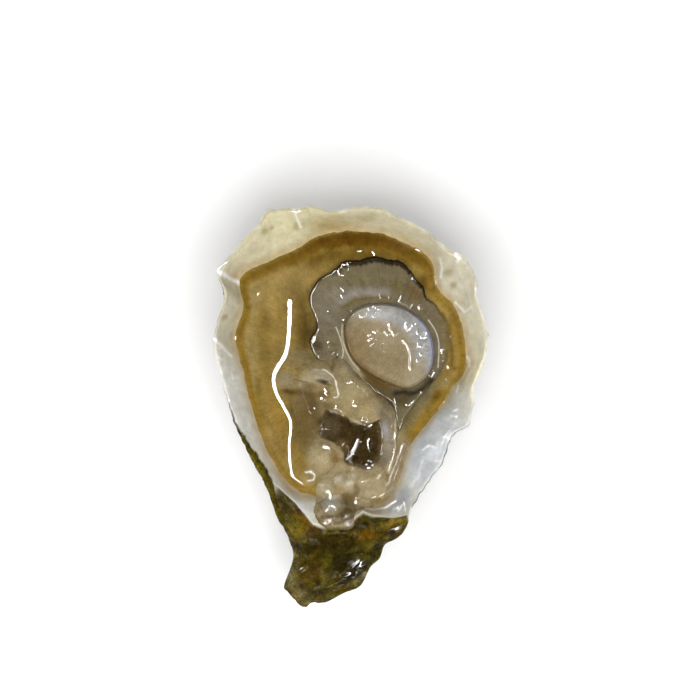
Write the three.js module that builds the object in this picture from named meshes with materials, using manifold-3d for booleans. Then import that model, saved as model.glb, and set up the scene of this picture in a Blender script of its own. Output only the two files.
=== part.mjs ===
// An oyster on the half shell: the cupped lower valve of a Pacific oyster, with the whole animal lying in it.
// Millimetres, +Z up. +Y runs from the hinge to the wide edge. The origin is under the middle of the valve.
// Everything is laid out with a straight beak, and bendBeak then leans the beak to the left, as it grew.
import * as THREE from "three";
import { mergeVertices } from "three/addons/utils/BufferGeometryUtils.js";
import Module from "manifold-3d";

// ---------------------------------------------------------------- driving dimensions

const FIT_GAP = 0.35; // air left between two pieces that touch
const BED_GAP = 0.5; // air left between the shell and what lies on it
const SHELL_FLOOR = 5; // height of the cup's inner floor over the table
const POOL_LEVEL = 17; // height at which the flesh meets the white wall
const LIP = 0.8; // width of the bare edge round the white lining
const CUP_CENTRE = [0, 7]; // deepest point of the cup
const BEAK = [1, -42]; // where the valve began to grow

const BEND_START = -23.5; // the beak leans from here on
const BEND_RATE = 0.0142; // sideways lean for each square millimetre past that

// The valve's edge from above, from the wide end round by the left side, and its height along the valve.
const OUTLINE = [
  [2.6, 49.9], [-4.8, 48.7], [-10.3, 50.2], [-11.7, 49.3], [-20, 48.9], [-22.8, 45.7], [-26.4, 42],
  [-31.9, 35.5], [-33.2, 33], [-31.6, 27.5], [-34.3, 17.2], [-33, 9.1], [-30, -1.8], [-26.1, -11.3],
  [-21.7, -19], [-18.4, -28], [-14.5, -36.4], [-16.3, -44.6], [-15.2, -47], [-11.1, -50.2], [-9.4, -49.1],
  [-5.9, -49.2], [-1.5, -47], [2.6, -45.1], [5, -40.7], [7.3, -38.6], [8.9, -34.7], [13.5, -31.7],
  [15.6, -25.4], [19.8, -18.5], [22.6, -15], [25.3, -7.8], [29.5, -4.8], [31, 0.5], [30.9, 4], [34.3, 14.2],
  [33.4, 22.5], [31.8, 27.2], [31.4, 32.2], [28.4, 37.4], [24.6, 39], [18.4, 44.3], [10.5, 48], [8.2, 49.3],
];
const EDGE_HEIGHTS = [
  [-50, 14.5], [-45, 15.3], [-36, 17.2], [-27, 19.3], [-15, 21.8], [0, 23.5], [25, 24.5], [40, 25.4],
  [50, 25.6],
];
// Folds that run up the wall to the teeth of the edge: direction in degrees, width and rise.
const WALL_FOLDS = [
  { at: 142, width: 5, rise: 1.4 }, { at: 163.5, width: 4, rise: 1 }, { at: 105, width: 5, rise: 0.9 },
  { at: 126, width: 9, rise: 0.9 }, { at: 36, width: 6, rise: 0.8 }, { at: -4, width: 7, rise: 0.8 },
  { at: -27, width: 5, rise: -0.9 }, { at: 64, width: 6, rise: -0.6 }, { at: 186, width: 6, rise: -0.6 },
];

// Where the flesh ends against the white wall.
const WATERLINE = [
  [0, 43.8], [-7.6, 42.4], [-12.8, 39], [-20.2, 36.3], [-28, 31.3], [-26.9, 25], [-29.1, 17.5],
  [-27.6, 9.5], [-25.2, 0], [-22, -9.4], [-18, -16.8], [-13.8, -21.2], [-7, -23.6], [0, -24.8],
  [6, -25.4], [9.8, -22.8], [11.8, -17], [13, -10], [18, -5], [23.6, -0.4], [28.6, 8], [28, 17.5],
  [25.8, 25], [21.6, 29.2], [20.8, 35], [17.8, 38.8], [9.8, 42.6],
];

// Where the white lining ends on the hinge side, and its height there.
const HINGE_LINE = [
  [-24.6, -13.6], [-20.6, -18.2], [-17.7, -20.8], [-13.6, -24], [-11, -26.8], [-8.6, -29.4], [-4, -30.2],
  [0.4, -28.2], [3.1, -26.6], [5.9, -27.6], [11.4, -28.4], [14.3, -27.4], [15.8, -25],
];
const HINGE_TOP = 21;
const LINING_STEP = 0.5; // drop from the lining to the rough plate
const TERRACE = 0.45; // height of the plate's growth lines

// The outside of the cup.
const FOOT_SHARE = 0.34; // the flat foot's share of the way to the edge
const CUP_POWER = { wide: 2.1, hinge: 1.2 }; // how late the outside rises from the foot
const GROWTH_STEPS = [0.34, 0.48, 0.6, 0.7, 0.78, 0.85, 0.91, 0.96]; // free edges of the growth layers
const LAYER_RISE = 1.5; // how far a layer's free edge stands out
const FLUTES = { waves: 22, depth: 0.6 }; // folds that fan out from the beak

// The flesh.
const DISH_LEVEL = 13.6; // the mantle's level under the organs
const MANTLE_EDGE = { rise: 0.9, at: 0.93, width: 0.055, ruffles: 24, ruffle: 0.3 };
// The mantle's folds: a line, its width and its rise; the first is the high crest beside the gills.
const MANTLE_FOLDS = [
  {
    line: [
      [-15, 27], [-15.6, 19], [-16, 12.5], [-19, 7.5], [-18.5, 3], [-15.6, -3.6], [-15.4, -12.4],
      [-13.8, -18],
    ],
    width: 2.6,
    rise: 2.6,
  },
  { line: [[-22.6, 27], [-21.4, 18], [-23.4, 9.4], [-21.8, 0], [-18.4, -11]], width: 1.6, rise: 0.7 },
  { line: [[-19, 32.6], [-8.4, 33.6], [0, 39.4], [10, 39.4]], width: 2, rise: 0.6 },
];
const MUSCLE_CENTRE = [9.9, 14.9];
const MUSCLE = [
  [-1.5, 19.3], [-0.6, 22.2], [1.7, 24.3], [5.4, 25.5], [10.5, 25.3], [15.1, 23.5], [18.9, 20.2],
  [20.7, 15.6], [20.7, 11], [19.2, 7.4], [16.2, 5], [13.6, 4.3], [8.7, 5.8], [4, 8.5], [0.8, 11.4],
  [-1, 14.9],
];
const MUSCLE_TOP = 18.6;
const GILL_EDGE = [
  [-10.3, 15.6], [-8.6, 20.4], [-10.4, 26], [-10.2, 28.8], [-8, 31.3], [-3.4, 35], [0.4, 36.4], [6.8, 37.1],
  [11.5, 36.4], [14.9, 34.1], [17.5, 30.7], [19.8, 26.6], [24, 22], [25, 15.6], [24, 10.4], [21, 5.8],
  [17.2, 1.2], [14, -3], [12.4, -6.6], [11.5, -3], [10.6, 0.4], [6.8, 2.9], [3.2, 6.2], [0, 9.6],
  [-2.6, 12], [-5.7, 11.4], [-8.6, 11.8],
];
const GILLS = { level: 17.3, fringe: 0.7, leaves: 44, groove: 0.2, ruffles: 19, ruffle: 0.4 };
const BODY_CENTRE = [-1.6, -6];
const BODY = [
  [-3.4, 10.6], [-1, 9], [1.6, 6.6], [5.2, 3], [8.6, 0], [10.4, -3], [11.2, -7], [11, -12], [9.4, -15.8],
  [5, -17], [0, -17.2], [-6, -16.9], [-10.6, -15.6], [-12.4, -9.9], [-13, -3.6], [-14.8, 2.2], [-14, 6.6],
  [-10, 9.6],
];
const BODY_RISE = 3;
// The body's folds: a line, its width and its rise.
const BODY_FOLDS = [
  { line: [[-14, 5], [-10.4, 8], [-6.4, 8.2], [-4, 5.4], [-3.4, 2]], width: 1.9, rise: 1.5 },
  { line: [[-1.6, 9], [1, 4], [0.6, 0.4]], width: 3.2, rise: 1.2 },
  { line: [[4, 4.4], [8.4, 0.6], [10.6, -4], [10.6, -11], [8.8, -15.6]], width: 1.5, rise: 1.1 },
  { line: [[-8.6, -12], [-6.6, -14.8]], width: 2.8, rise: 2 },
];
const BODY_HOLLOW = { at: [-8.6, 0.6], reach: 3.6, depth: 0.9 };
const GLAND_CENTRE = [0.9, -8.6];
const GLAND = [
  [-5.4, -1.9], [-2.4, -1.8], [0.4, -3.5], [4, -4], [6.6, -3.2], [7.9, -5.6], [8, -10.4], [7.1, -14.6],
  [3.8, -15.7], [1, -14.8], [-1.4, -13.2], [-3.6, -11], [-6, -9.8], [-7.2, -7], [-7, -4],
];
const CRATER = { depth: 2.5, wall: 1.35 };
const GLAND_RISE = 1.9;
const PALPS_CENTRE = [-1.6, -22.6];
const PALPS = [
  [-8.9, -19.4], [-5, -18.1], [0, -18.1], [5, -18], [9, -17.9], [9.6, -21], [8, -24.2], [4, -25.6],
  [1.6, -27.6], [0.4, -30.2], [-3, -31], [-7, -30.4], [-8.4, -27], [-9.2, -23],
];
// Rounded lumps of the palps: place, reach and height.
const PALP_LUMPS = [
  [-5.4, -21.2, 3.8, 2.6], [-1, -20.4, 3, 2.2], [5.4, -20.6, 4, 2.4], [-4.6, -24.6, 3.4, 2.6],
  [-0.6, -23.8, 2.6, 1.6], [7.4, -22.4, 2.4, 1.6], [-5.8, -27.6, 2.4, 1.8], [-2.4, -27.6, 2.4, 1.9],
  [-0.8, -29.8, 1.6, 1.2], [-4.4, -29.8, 1.7, 1.3],
];
const LIGAMENT_CENTRE = [-3, -34.2];
const LIGAMENT = [
  [-7.6, -33.6], [-4.4, -32.2], [-0.4, -32.2], [1.2, -34], [-0.8, -36.6], [-4.6, -37], [-7.4, -36],
];
const LIGAMENT_RISE = 1.1;

// ---------------------------------------------------------------- small mathematics

const clamp01 = (v) => Math.min(1, Math.max(0, v));
const mix = (a, b, t) => a + (b - a) * t;
const bump = (v, at, width) => Math.exp(-(((v - at) / width) ** 2));

// How far a direction in radians is from one in degrees, in degrees either way.
function degreesApart(radians, degrees) {
  const apart = THREE.MathUtils.euclideanModulo(THREE.MathUtils.radToDeg(radians) - degrees, 360);
  return apart > 180 ? apart - 360 : apart;
}

function smoothstep(from, to, v) {
  const t = clamp01((v - from) / (to - from));
  return t * t * (3 - 2 * t);
}

function polar([x, y], [cx, cy]) {
  return { radius: Math.hypot(x - cx, y - cy), angle: Math.atan2(y - cy, x - cx) };
}

function onRay([cx, cy], angle, radius) {
  return [cx + radius * Math.cos(angle), cy + radius * Math.sin(angle)];
}

// The height that a set of folds adds at a point; each fold dies away towards its ends.
function folded(folds, p) {
  const away = ([x, y]) => Math.hypot(p[0] - x, p[1] - y);
  return folds.reduce((sum, { line, width, rise }) => {
    const fade = smoothstep(-1.5, 2.5, Math.min(away(line[0]), away(line.at(-1))) / width);
    return sum + rise * bump(distanceTo(line, p), 0, width) * fade;
  }, 0);
}

// Leans the beak to the left, and back again.
const lean = (y) => BEND_RATE * Math.max(0, BEND_START - y) ** 2;
const bendBeak = ([x, y, z]) => [x - lean(y), y, z];
const straighten = ([x, y]) => [x + lean(y), y];

// A smooth closed line through a few points, with the beak straight.
function closedLine(points, samples = 32 * points.length) {
  const corners = points.map(straighten).map(([x, y]) => new THREE.Vector3(x, y, 0));
  const curve = new THREE.CatmullRomCurve3(corners, true, "catmullrom", 0.5);
  return Array.from({ length: samples }, (_, i) => curve.getPoint(i / samples).toArray());
}

// A value between the rows of a short table.
function between(table, v) {
  const above = table.findIndex((row) => row[0] > v);
  const i = above < 0 ? table.length - 1 : Math.max(1, above);
  const [[v0, a], [v1, b]] = [table[i - 1], table[i]];
  return mix(a, b, clamp01((v - v0) / (v1 - v0)));
}

// A closed line as seen from a point inside it: its distance and height at any angle.
function seenFrom(centre, line, steps = 720) {
  const seen = line.map((p) => ({ ...polar(p, centre), z: p[2] })).sort((a, b) => a.angle - b.angle);
  const turn = 2 * Math.PI;
  const round = [
    { ...seen.at(-1), angle: seen.at(-1).angle - turn },
    ...seen,
    { ...seen[0], angle: seen[0].angle + turn },
  ];
  const table = [];
  let i = 0;
  for (let k = 0; k <= steps; k++) {
    const angle = -Math.PI + (turn * k) / steps;
    while (round[i + 1].angle < angle) i++;
    const t = (angle - round[i].angle) / (round[i + 1].angle - round[i].angle || 1);
    table.push([mix(round[i].radius, round[i + 1].radius, t), mix(round[i].z, round[i + 1].z, t)]);
  }
  return (angle) => {
    const place = ((((angle + Math.PI) / turn) % 1) + 1) % 1 * steps;
    const k = Math.min(steps - 1, Math.floor(place));
    const [a, b] = [table[k], table[k + 1]];
    return { radius: mix(a[0], b[0], place - k), z: mix(a[1], b[1], place - k) };
  };
}

// Distance from a point to an open line.
function distanceTo(line, [x, y]) {
  let least = Infinity;
  for (let i = 0; i + 1 < line.length; i++) {
    const [[ax, ay], [bx, by]] = [line[i], line[i + 1]];
    const t = clamp01(((x - ax) * (bx - ax) + (y - ay) * (by - ay)) / ((bx - ax) ** 2 + (by - ay) ** 2));
    least = Math.min(least, Math.hypot(x - mix(ax, bx, t), y - mix(ay, by, t)));
  }
  return least;
}

// ---------------------------------------------------------------- closed meshes

// A closed mesh from flat lists of corners and triangles, bent with the beak and facing out.
function closedMesh(corners, triangles) {
  const bent = corners.map(bendBeak);
  const geometry = new THREE.BufferGeometry();
  geometry.setAttribute("position", new THREE.Float32BufferAttribute(bent.flat(), 3));
  let volume = 0;
  const [a, b, c] = [new THREE.Vector3(), new THREE.Vector3(), new THREE.Vector3()];
  for (const [i, j, k] of triangles) {
    volume += a.fromArray(bent[i]).dot(b.fromArray(bent[j]).cross(c.fromArray(bent[k])));
  }
  geometry.setIndex(triangles.flatMap(([i, j, k]) => (volume > 0 ? [i, j, k] : [i, k, j])));
  return geometry;
}

// Joins rings of equal size in order, and closes both ends with a point.
function closedRings(first, rings, last) {
  const corners = [first, ...rings.flat(), last];
  const around = rings[0].length;
  const end = corners.length - 1;
  const at = (ring, i) => 1 + ring * around + (i % around);
  const triangles = [];
  for (let i = 0; i < around; i++) {
    triangles.push([0, at(0, i), at(0, i + 1)]);
    triangles.push([end, at(rings.length - 1, i + 1), at(rings.length - 1, i)]);
    for (let ring = 0; ring + 1 < rings.length; ring++) {
      triangles.push([at(ring, i), at(ring + 1, i), at(ring + 1, i + 1)]);
      triangles.push([at(ring, i), at(ring + 1, i + 1), at(ring, i + 1)]);
    }
  }
  return closedMesh(corners, triangles);
}

// Joins rings of equal size in order, the last to the first, as round a doughnut.
function closedBand(rings) {
  const around = rings[0].length;
  const at = (ring, i) => (ring % rings.length) * around + (i % around);
  const triangles = [];
  for (let ring = 0; ring < rings.length; ring++) {
    for (let i = 0; i < around; i++) {
      triangles.push([at(ring, i), at(ring + 1, i), at(ring + 1, i + 1)]);
      triangles.push([at(ring, i), at(ring + 1, i + 1), at(ring, i + 1)]);
    }
  }
  return closedMesh(rings.flat(), triangles);
}

const wasm = await Module();
wasm.setup();

function toSolid(geometry) {
  const merged = mergeVertices(geometry, 1e-3);
  return new wasm.Manifold(
    new wasm.Mesh({
      numProp: 3,
      vertProperties: merged.getAttribute("position").array,
      triVerts: new Uint32Array(merged.index.array),
    }),
  );
}

function toGeometry(solid) {
  const { vertProperties, triVerts } = solid.getMesh();
  const geometry = new THREE.BufferGeometry();
  geometry.setAttribute("position", new THREE.BufferAttribute(new Float32Array(vertProperties), 3));
  geometry.setIndex(new THREE.BufferAttribute(new Uint32Array(triVerts), 1));
  return geometry;
}

// ---------------------------------------------------------------- the valve's surfaces

const wallFold = (angle) =>
  WALL_FOLDS.reduce((sum, { at, width, rise }) => sum + rise * bump(degreesApart(angle, at), 0, width), 0);

const edgeLine = closedLine(OUTLINE).map(([x, y]) => {
  const { angle } = polar([x, y], CUP_CENTRE);
  return [x, y, between(EDGE_HEIGHTS, y) + wallFold(angle)];
});
const edgeAt = seenFrom(CUP_CENTRE, edgeLine);
const waterAt = seenFrom(CUP_CENTRE, closedLine(WATERLINE));
const hingeRadii = HINGE_LINE.map((p) => polar(straighten(p), CUP_CENTRE)).map((p) => [p.angle, p.radius]);

// Where the white lining ends: near the edge, and short of it at the hinge.
function liningAt(angle) {
  const edge = edgeAt(angle);
  const onHinge = angle > hingeRadii[0][0] && angle < hingeRadii.at(-1)[0];
  const radius = Math.min(edge.radius - LIP, onHinge ? between(hingeRadii, angle) : Infinity);
  const inset = smoothstep(0, 8, edge.radius - LIP - radius);
  return { radius, z: mix(edge.z + 0.3, HINGE_TOP, inset) };
}

// The inside of the cup and, past the lining's end, the rough plate that slopes down to the beak.
function insideHeight(point) {
  const { radius, angle } = polar(point, CUP_CENTRE);
  const water = waterAt(angle).radius;
  const lining = liningAt(angle);
  const edge = edgeAt(angle);
  if (radius < water) return mix(SHELL_FLOOR, POOL_LEVEL, (radius / water) ** 2.3);
  if (radius < lining.radius) {
    const t = (radius - water) / (lining.radius - water);
    const rise = lining.z - POOL_LEVEL;
    const slope = (2.3 * (POOL_LEVEL - SHELL_FLOOR)) / water;
    const start = Math.min(1.8, (slope * (lining.radius - water)) / rise);
    const finish = 0.5;
    const curve = t ** 3 * (start + finish - 2) + t * t * (3 - 2 * start - finish) + t * start;
    return POOL_LEVEL + rise * curve;
  }
  const e = clamp01((radius - lining.radius) / (edge.radius - lining.radius));
  const room = smoothstep(2, 10, edge.radius - lining.radius);
  const groove = 1.2 * bump(degreesApart(angle, -97), 0, 7) * bump(e, 0.3, 0.3);
  const terraces = TERRACE * Math.cos((e - 0.05) * 4 * Math.PI) * (1 - e);
  const step = LINING_STEP * smoothstep(0, 0.05, e) * (1 - e);
  return mix(lining.z, edge.z, e ** 1.25) + room * (terraces * smoothstep(0, 0.05, e) - groove - step);
}

// The outside of the cup without its growth layers.
function outsideHeight(point) {
  const { radius, angle } = polar(point, CUP_CENTRE);
  const edge = edgeAt(angle);
  const share = clamp01((radius / edge.radius - FOOT_SHARE) / (1 - FOOT_SHARE));
  const hingeSide = smoothstep(0.2, -1, Math.sin(angle));
  return edge.z * share ** mix(CUP_POWER.wide, CUP_POWER.hinge, hingeSide);
}

// How far the growth layers and flutes stand out at a share of the way from the beak to the edge.
function growthRelief(share, angle, reach) {
  const steps = [0, ...GROWTH_STEPS, 1];
  const layer = Math.max(0, steps.findIndex((step) => share < step) - 1);
  const width = steps[layer + 1] - steps[layer];
  const along = (share - steps[layer]) / width;
  const rise = Math.min(LAYER_RISE, 0.4 * width * reach);
  const ruffle = 0.75 + 0.25 * Math.sin(13 * angle + 2.4 * layer);
  const spread = smoothstep(0.3, 0.8, share) * clamp01(reach / 30);
  const flutes = FLUTES.depth * Math.sin(FLUTES.waves * angle) * spread;
  const last = layer === GROWTH_STEPS.length ? 1 - along : 1;
  return (rise * ruffle * along ** 1.5 + flutes) * last;
}

// A point of the outside, a share of the way from the beak to a point of the edge.
function outsidePoint(edgePoint, share) {
  const [x, y] = [mix(BEAK[0], edgePoint[0], share), mix(BEAK[1], edgePoint[1], share)];
  const { radius: reach, angle } = polar(edgePoint, BEAK);
  const slopeX = outsideHeight([x + 0.5, y]) - outsideHeight([x - 0.5, y]);
  const slopeY = outsideHeight([x, y + 0.5]) - outsideHeight([x, y - 0.5]);
  const relief = growthRelief(share, angle, reach) / Math.hypot(slopeX, slopeY, 1);
  return [x + relief * slopeX, y + relief * slopeY, Math.max(0, outsideHeight([x, y]) - relief)];
}

// ---------------------------------------------------------------- the pieces

function shell() {
  const edge = edgeLine.filter((_, i) => i % 16 === 0);
  const rays = edge.map((p) => {
    const { radius, angle } = polar(p, CUP_CENTRE);
    return { angle, water: waterAt(angle).radius, lining: liningAt(angle).radius, edge: radius };
  });
  const ring = (radiusOn) =>
    rays.map((ray) => {
      const p = onRay(CUP_CENTRE, ray.angle, radiusOn(ray));
      return [...p, insideHeight(p)];
    });
  const cup = [0.16, 0.32, 0.47, 0.61, 0.74, 0.85, 0.94, 1].map((f) => ring((ray) => f * ray.water));
  const wall = [0.35, 0.7, 1].map((f) => ring((ray) => mix(ray.water, ray.lining, f)));
  const plate = [0.05, 0.3, 0.55, 0.8].map((f) => ring((ray) => mix(ray.lining, ray.edge, f)));
  const layers = [...GROWTH_STEPS].reverse().flatMap((step) => [step + 0.006, step - 0.006]);
  const outside = [0.985, ...layers, 0.2, 0.1].map((share) => edge.map((p) => outsidePoint(p, share)));
  const rings = [...cup, ...wall, ...plate, edge, ...outside];
  return closedRings([...CUP_CENTRE, SHELL_FLOOR], rings, outsidePoint([BEAK[0], BEAK[1] + 1], 0));
}

// The mantle's upper surface.
function mantleHeight(point) {
  const { radius, angle } = polar(point, CUP_CENTRE);
  const share = radius / waterAt(angle).radius;
  const thin = insideHeight(point) + BED_GAP + 0.4;
  const edge = MANTLE_EDGE.rise + MANTLE_EDGE.ruffle * Math.sin(MANTLE_EDGE.ruffles * angle);
  const dish =
    mix(DISH_LEVEL, POOL_LEVEL, smoothstep(0.5, 1, share)) +
    edge * bump(share, MANTLE_EDGE.at, MANTLE_EDGE.width) +
    folded(MANTLE_FOLDS, point) * smoothstep(1, 0.8, share);
  return Math.max(thin, mix(dish, thin, smoothstep(0.95, 1, share)));
}

// What the organs lie on: the mantle, or the bare wall past it.
function groundHeight(point) {
  const { radius, angle } = polar(point, CUP_CENTRE);
  return radius < waterAt(angle).radius ? mantleHeight(point) : insideHeight(point) + 2 * BED_GAP;
}

// Rings round a centre at shares of the way to a line, at the height given.
function ringsOf(centre, at, shares, around, height) {
  return shares.map((share) =>
    Array.from({ length: around }, (_, i) => {
      const angle = (2 * Math.PI * i) / around;
      const place = onRay(centre, angle, share * at(angle).radius);
      return [...place, height(place, share)];
    }),
  );
}

function mantle(around = 72) {
  const underside = (p) => insideHeight(p) + BED_GAP;
  const top = [0.2, 0.36, 0.48, 0.58, 0.66, 0.73, 0.79, 0.85, 0.9, 0.94, 0.975];
  const rings = [
    ...ringsOf(CUP_CENTRE, waterAt, top, around, mantleHeight),
    ...ringsOf(CUP_CENTRE, waterAt, [0.99, 0.9, 0.75, 0.55, 0.3], around, underside),
  ];
  const middle = (height) => [...CUP_CENTRE, height(CUP_CENTRE)];
  const sheet = closedRings(middle(mantleHeight), rings, middle(underside));
  return toGeometry(toSolid(sheet).subtract(toSolid(muscleColumn(FIT_GAP))));
}

const muscleAt = seenFrom(MUSCLE_CENTRE, closedLine(MUSCLE));

// The cut face: lower in the middle, with the firm white part standing along the upper right.
function muscleTop(point) {
  const { radius, angle } = polar(point, MUSCLE_CENTRE);
  const share = radius / muscleAt(angle).radius;
  const upperRight = smoothstep(-0.5, 0.6, Math.cos(angle - Math.PI / 5));
  return MUSCLE_TOP + 0.9 * upperRight * bump(share, 0.72, 0.25) - 0.5 * bump(share, 0.1, 0.4);
}

// The muscle, a column from just over the shell to its rounded cut face; grown a little, it is its hole.
function muscleColumn(grown, around = 40) {
  const wider = (angle) => ({ radius: muscleAt(angle).radius + grown });
  const bottom = (p) => (grown ? 0 : insideHeight(p) + BED_GAP);
  const top = (p, share) => muscleTop(p) - 1.6 * smoothstep(0.7, 1, share) ** 2 + grown;
  const rings = [
    ...ringsOf(MUSCLE_CENTRE, wider, [0.35, 0.65, 0.84, 0.94, 1], around, top),
    ...ringsOf(MUSCLE_CENTRE, wider, [0.999, 0.6], around, bottom),
  ];
  const middle = (height) => [...MUSCLE_CENTRE, height(MUSCLE_CENTRE, 0)];
  return closedRings(middle(top), rings, middle(bottom));
}

// Gills: a ring of thin leaves round the muscle, ruffled along its outer edge.
function gills(around = 72) {
  const edge = seenFrom(MUSCLE_CENTRE, closedLine(GILL_EDGE));
  const rings = Array.from({ length: around }, (_, i) => {
    const angle = (2 * Math.PI * i) / around;
    const inner = muscleAt(angle).radius + 2 * FIT_GAP;
    const outer = edge(angle).radius + GILLS.ruffle * Math.sin(GILLS.ruffles * angle);
    const wide = smoothstep(1, 7, outer - inner);
    const leaf = GILLS.groove * wide * Math.cos(GILLS.leaves * angle);
    const placed = (t, height) => {
      const p = onRay(MUSCLE_CENTRE, angle, mix(inner, outer, t));
      return [...p, height(groundHeight(p) + FIT_GAP)];
    };
    const over = [0, 0.06, 0.25, 0.5, 0.72, 0.86, 0.95, 1].map((t) =>
      placed(t, (ground) => {
        const round = t < 0.5 ? (1 - (1 - 2 * t) ** 6) ** 0.5 : (1 - (2 * t - 1) ** 5) ** 0.7;
        const level = GILLS.level + leaf + GILLS.fringe * wide * bump(t, 0.8, 0.25);
        return ground + 0.4 + Math.max(0.7, level - ground) * round;
      }),
    );
    const under = [0.97, 0.5, 0.03].map((t) => placed(t, (ground) => ground));
    return [...over, ...under];
  });
  return closedBand(rings);
}

// A rounded heap inside a line, lying on the ground given.
function heap(centre, line, { around, shares, ground, rise }) {
  const at = seenFrom(straighten(centre), closedLine(line));
  const middle = straighten(centre);
  const over = (p, share) => ground(p) + 0.25 + rise(p) * (1 - share ** 5) ** 0.6;
  const rings = [
    ...ringsOf(middle, at, shares, around, over),
    ...ringsOf(middle, at, [0.97, 0.5], around, ground),
  ];
  return closedRings([...middle, over(middle, 0)], rings, [...middle, ground(middle)]);
}

const glandAt = seenFrom(GLAND_CENTRE, closedLine(GLAND));

// The hollow of the body that holds the gland.
function crater(point) {
  const { radius, angle } = polar(point, GLAND_CENTRE);
  return CRATER.depth * smoothstep(CRATER.wall, 1, radius / glandAt(angle).radius);
}

const bodyGround = (p) => groundHeight(p) + FIT_GAP;

function bodyRise(p) {
  const hollow = BODY_HOLLOW.depth * bump(polar(p, BODY_HOLLOW.at).radius, 0, BODY_HOLLOW.reach);
  return BODY_RISE + folded(BODY_FOLDS, p) - crater(p) - hollow;
}

const visceralMass = () =>
  heap(BODY_CENTRE, BODY, {
    around: 60,
    shares: [0.16, 0.31, 0.45, 0.57, 0.68, 0.77, 0.85, 0.92, 0.97, 0.995],
    ground: bodyGround,
    rise: bodyRise,
  });

const inCrater = GLAND.map(([x, y]) => [mix(GLAND_CENTRE[0], x, 0.92), mix(GLAND_CENTRE[1], y, 0.92)]);

const digestiveGland = () =>
  heap(GLAND_CENTRE, inCrater, {
    around: 28,
    shares: [0.3, 0.55, 0.75, 0.9, 0.99],
    ground: (p) => bodyGround(p) + 0.25 + bodyRise(p) + 2 * FIT_GAP,
    rise: (p) => GLAND_RISE + 0.3 * Math.sin(1.1 * p[0]) * Math.sin(1.3 * p[1]),
  });

// The palps and torn shreds at the hinge end: one lumpy heap that climbs the wall.
function palps() {
  const lumps = PALP_LUMPS.map(([x, y, reach, height]) => [...straighten([x, y]), reach, height]);
  const rise = ([px, py]) =>
    lumps.reduce((sum, [x, y, reach, height]) => {
      const away = Math.hypot(px - x, py - y) / reach;
      return sum + (height * Math.sqrt(Math.max(0, 1 - away * away))) ** 5;
    }, 0.7 ** 5) ** 0.2;
  return heap(PALPS_CENTRE, PALPS, {
    around: 48,
    shares: [0.14, 0.28, 0.41, 0.53, 0.64, 0.74, 0.83, 0.91, 0.98],
    ground: (p) => groundHeight(p) + 2 * FIT_GAP,
    rise,
  });
}

const ligament = () =>
  heap(LIGAMENT_CENTRE, LIGAMENT, {
    around: 22,
    shares: [0.4, 0.75, 0.95],
    ground: (p) => insideHeight(p) + BED_GAP,
    rise: () => LIGAMENT_RISE,
  });

// ---------------------------------------------------------------- the oyster

const oyster = new THREE.Group();

function add(name, geometry, color, roughness) {
  const mesh = new THREE.Mesh(geometry, new THREE.MeshStandardMaterial({ color, roughness, metalness: 0 }));
  mesh.name = name;
  oyster.add(mesh);
}

add("shell", shell(), 0x8f8b78, 0.6);
add("hinge_ligament", ligament(), 0x2f2416, 0.5);
add("mantle", mantle(), 0x8a6c35, 0.25);
add("gills", gills(), 0x6f6858, 0.25);
add("adductor_muscle", muscleColumn(0), 0xa39a86, 0.25);
add("visceral_mass", visceralMass(), 0xa4946b, 0.25);
add("digestive_gland", digestiveGland(), 0x2a1e10, 0.2);
add("palps", palps(), 0xb3a684, 0.25);

export default oyster;
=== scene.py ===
"""An oyster on the half shell: the looks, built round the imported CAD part.

Every surface is a height over the plan, as in the CAD part and in its millimetres, but on fine meshes and
with the small relief, colours and wet film that the CAD part leaves out.
"""

import math

import bpy
import numpy as np
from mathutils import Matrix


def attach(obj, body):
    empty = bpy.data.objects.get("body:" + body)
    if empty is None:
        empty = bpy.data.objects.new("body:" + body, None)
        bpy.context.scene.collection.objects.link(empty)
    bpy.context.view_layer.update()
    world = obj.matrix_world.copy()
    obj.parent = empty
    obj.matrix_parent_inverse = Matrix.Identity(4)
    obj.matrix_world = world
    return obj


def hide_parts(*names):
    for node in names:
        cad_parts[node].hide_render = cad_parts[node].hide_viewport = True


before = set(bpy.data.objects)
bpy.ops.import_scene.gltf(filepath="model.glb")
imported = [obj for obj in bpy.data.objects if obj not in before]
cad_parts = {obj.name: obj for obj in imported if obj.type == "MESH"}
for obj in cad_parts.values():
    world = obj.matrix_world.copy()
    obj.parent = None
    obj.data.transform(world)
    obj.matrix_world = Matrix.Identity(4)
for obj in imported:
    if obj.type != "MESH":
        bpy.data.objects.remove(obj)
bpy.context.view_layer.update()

TURN = 2 * math.pi

# ------------------------------------------------------------------ the part's driving dimensions, in mm

BED_GAP, SHELL_FLOOR, POOL_LEVEL, LIP = 0.5, 5.0, 17.0, 0.8
CUP_CENTRE, BEAK = (0.0, 7.0), (1.0, -42.0)
BEND_START, BEND_RATE = -23.5, 0.0142

OUTLINE = [
    (2.6, 49.9), (-4.8, 48.7), (-10.3, 50.2), (-11.7, 49.3), (-20, 48.9), (-22.8, 45.7), (-26.4, 42),
    (-31.9, 35.5), (-33.2, 33), (-31.6, 27.5), (-34.3, 17.2), (-33, 9.1), (-30, -1.8), (-26.1, -11.3),
    (-21.7, -19), (-18.4, -28), (-14.5, -36.4), (-16.3, -44.6), (-15.2, -47), (-11.1, -50.2), (-9.4, -49.1),
    (-5.9, -49.2), (-1.5, -47), (2.6, -45.1), (5, -40.7), (7.3, -38.6), (8.9, -34.7), (13.5, -31.7),
    (15.6, -25.4), (19.8, -18.5), (22.6, -15), (25.3, -7.8), (29.5, -4.8), (31, 0.5), (30.9, 4), (34.3, 14.2),
    (33.4, 22.5), (31.8, 27.2), (31.4, 32.2), (28.4, 37.4), (24.6, 39), (18.4, 44.3), (10.5, 48), (8.2, 49.3),
]
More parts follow.
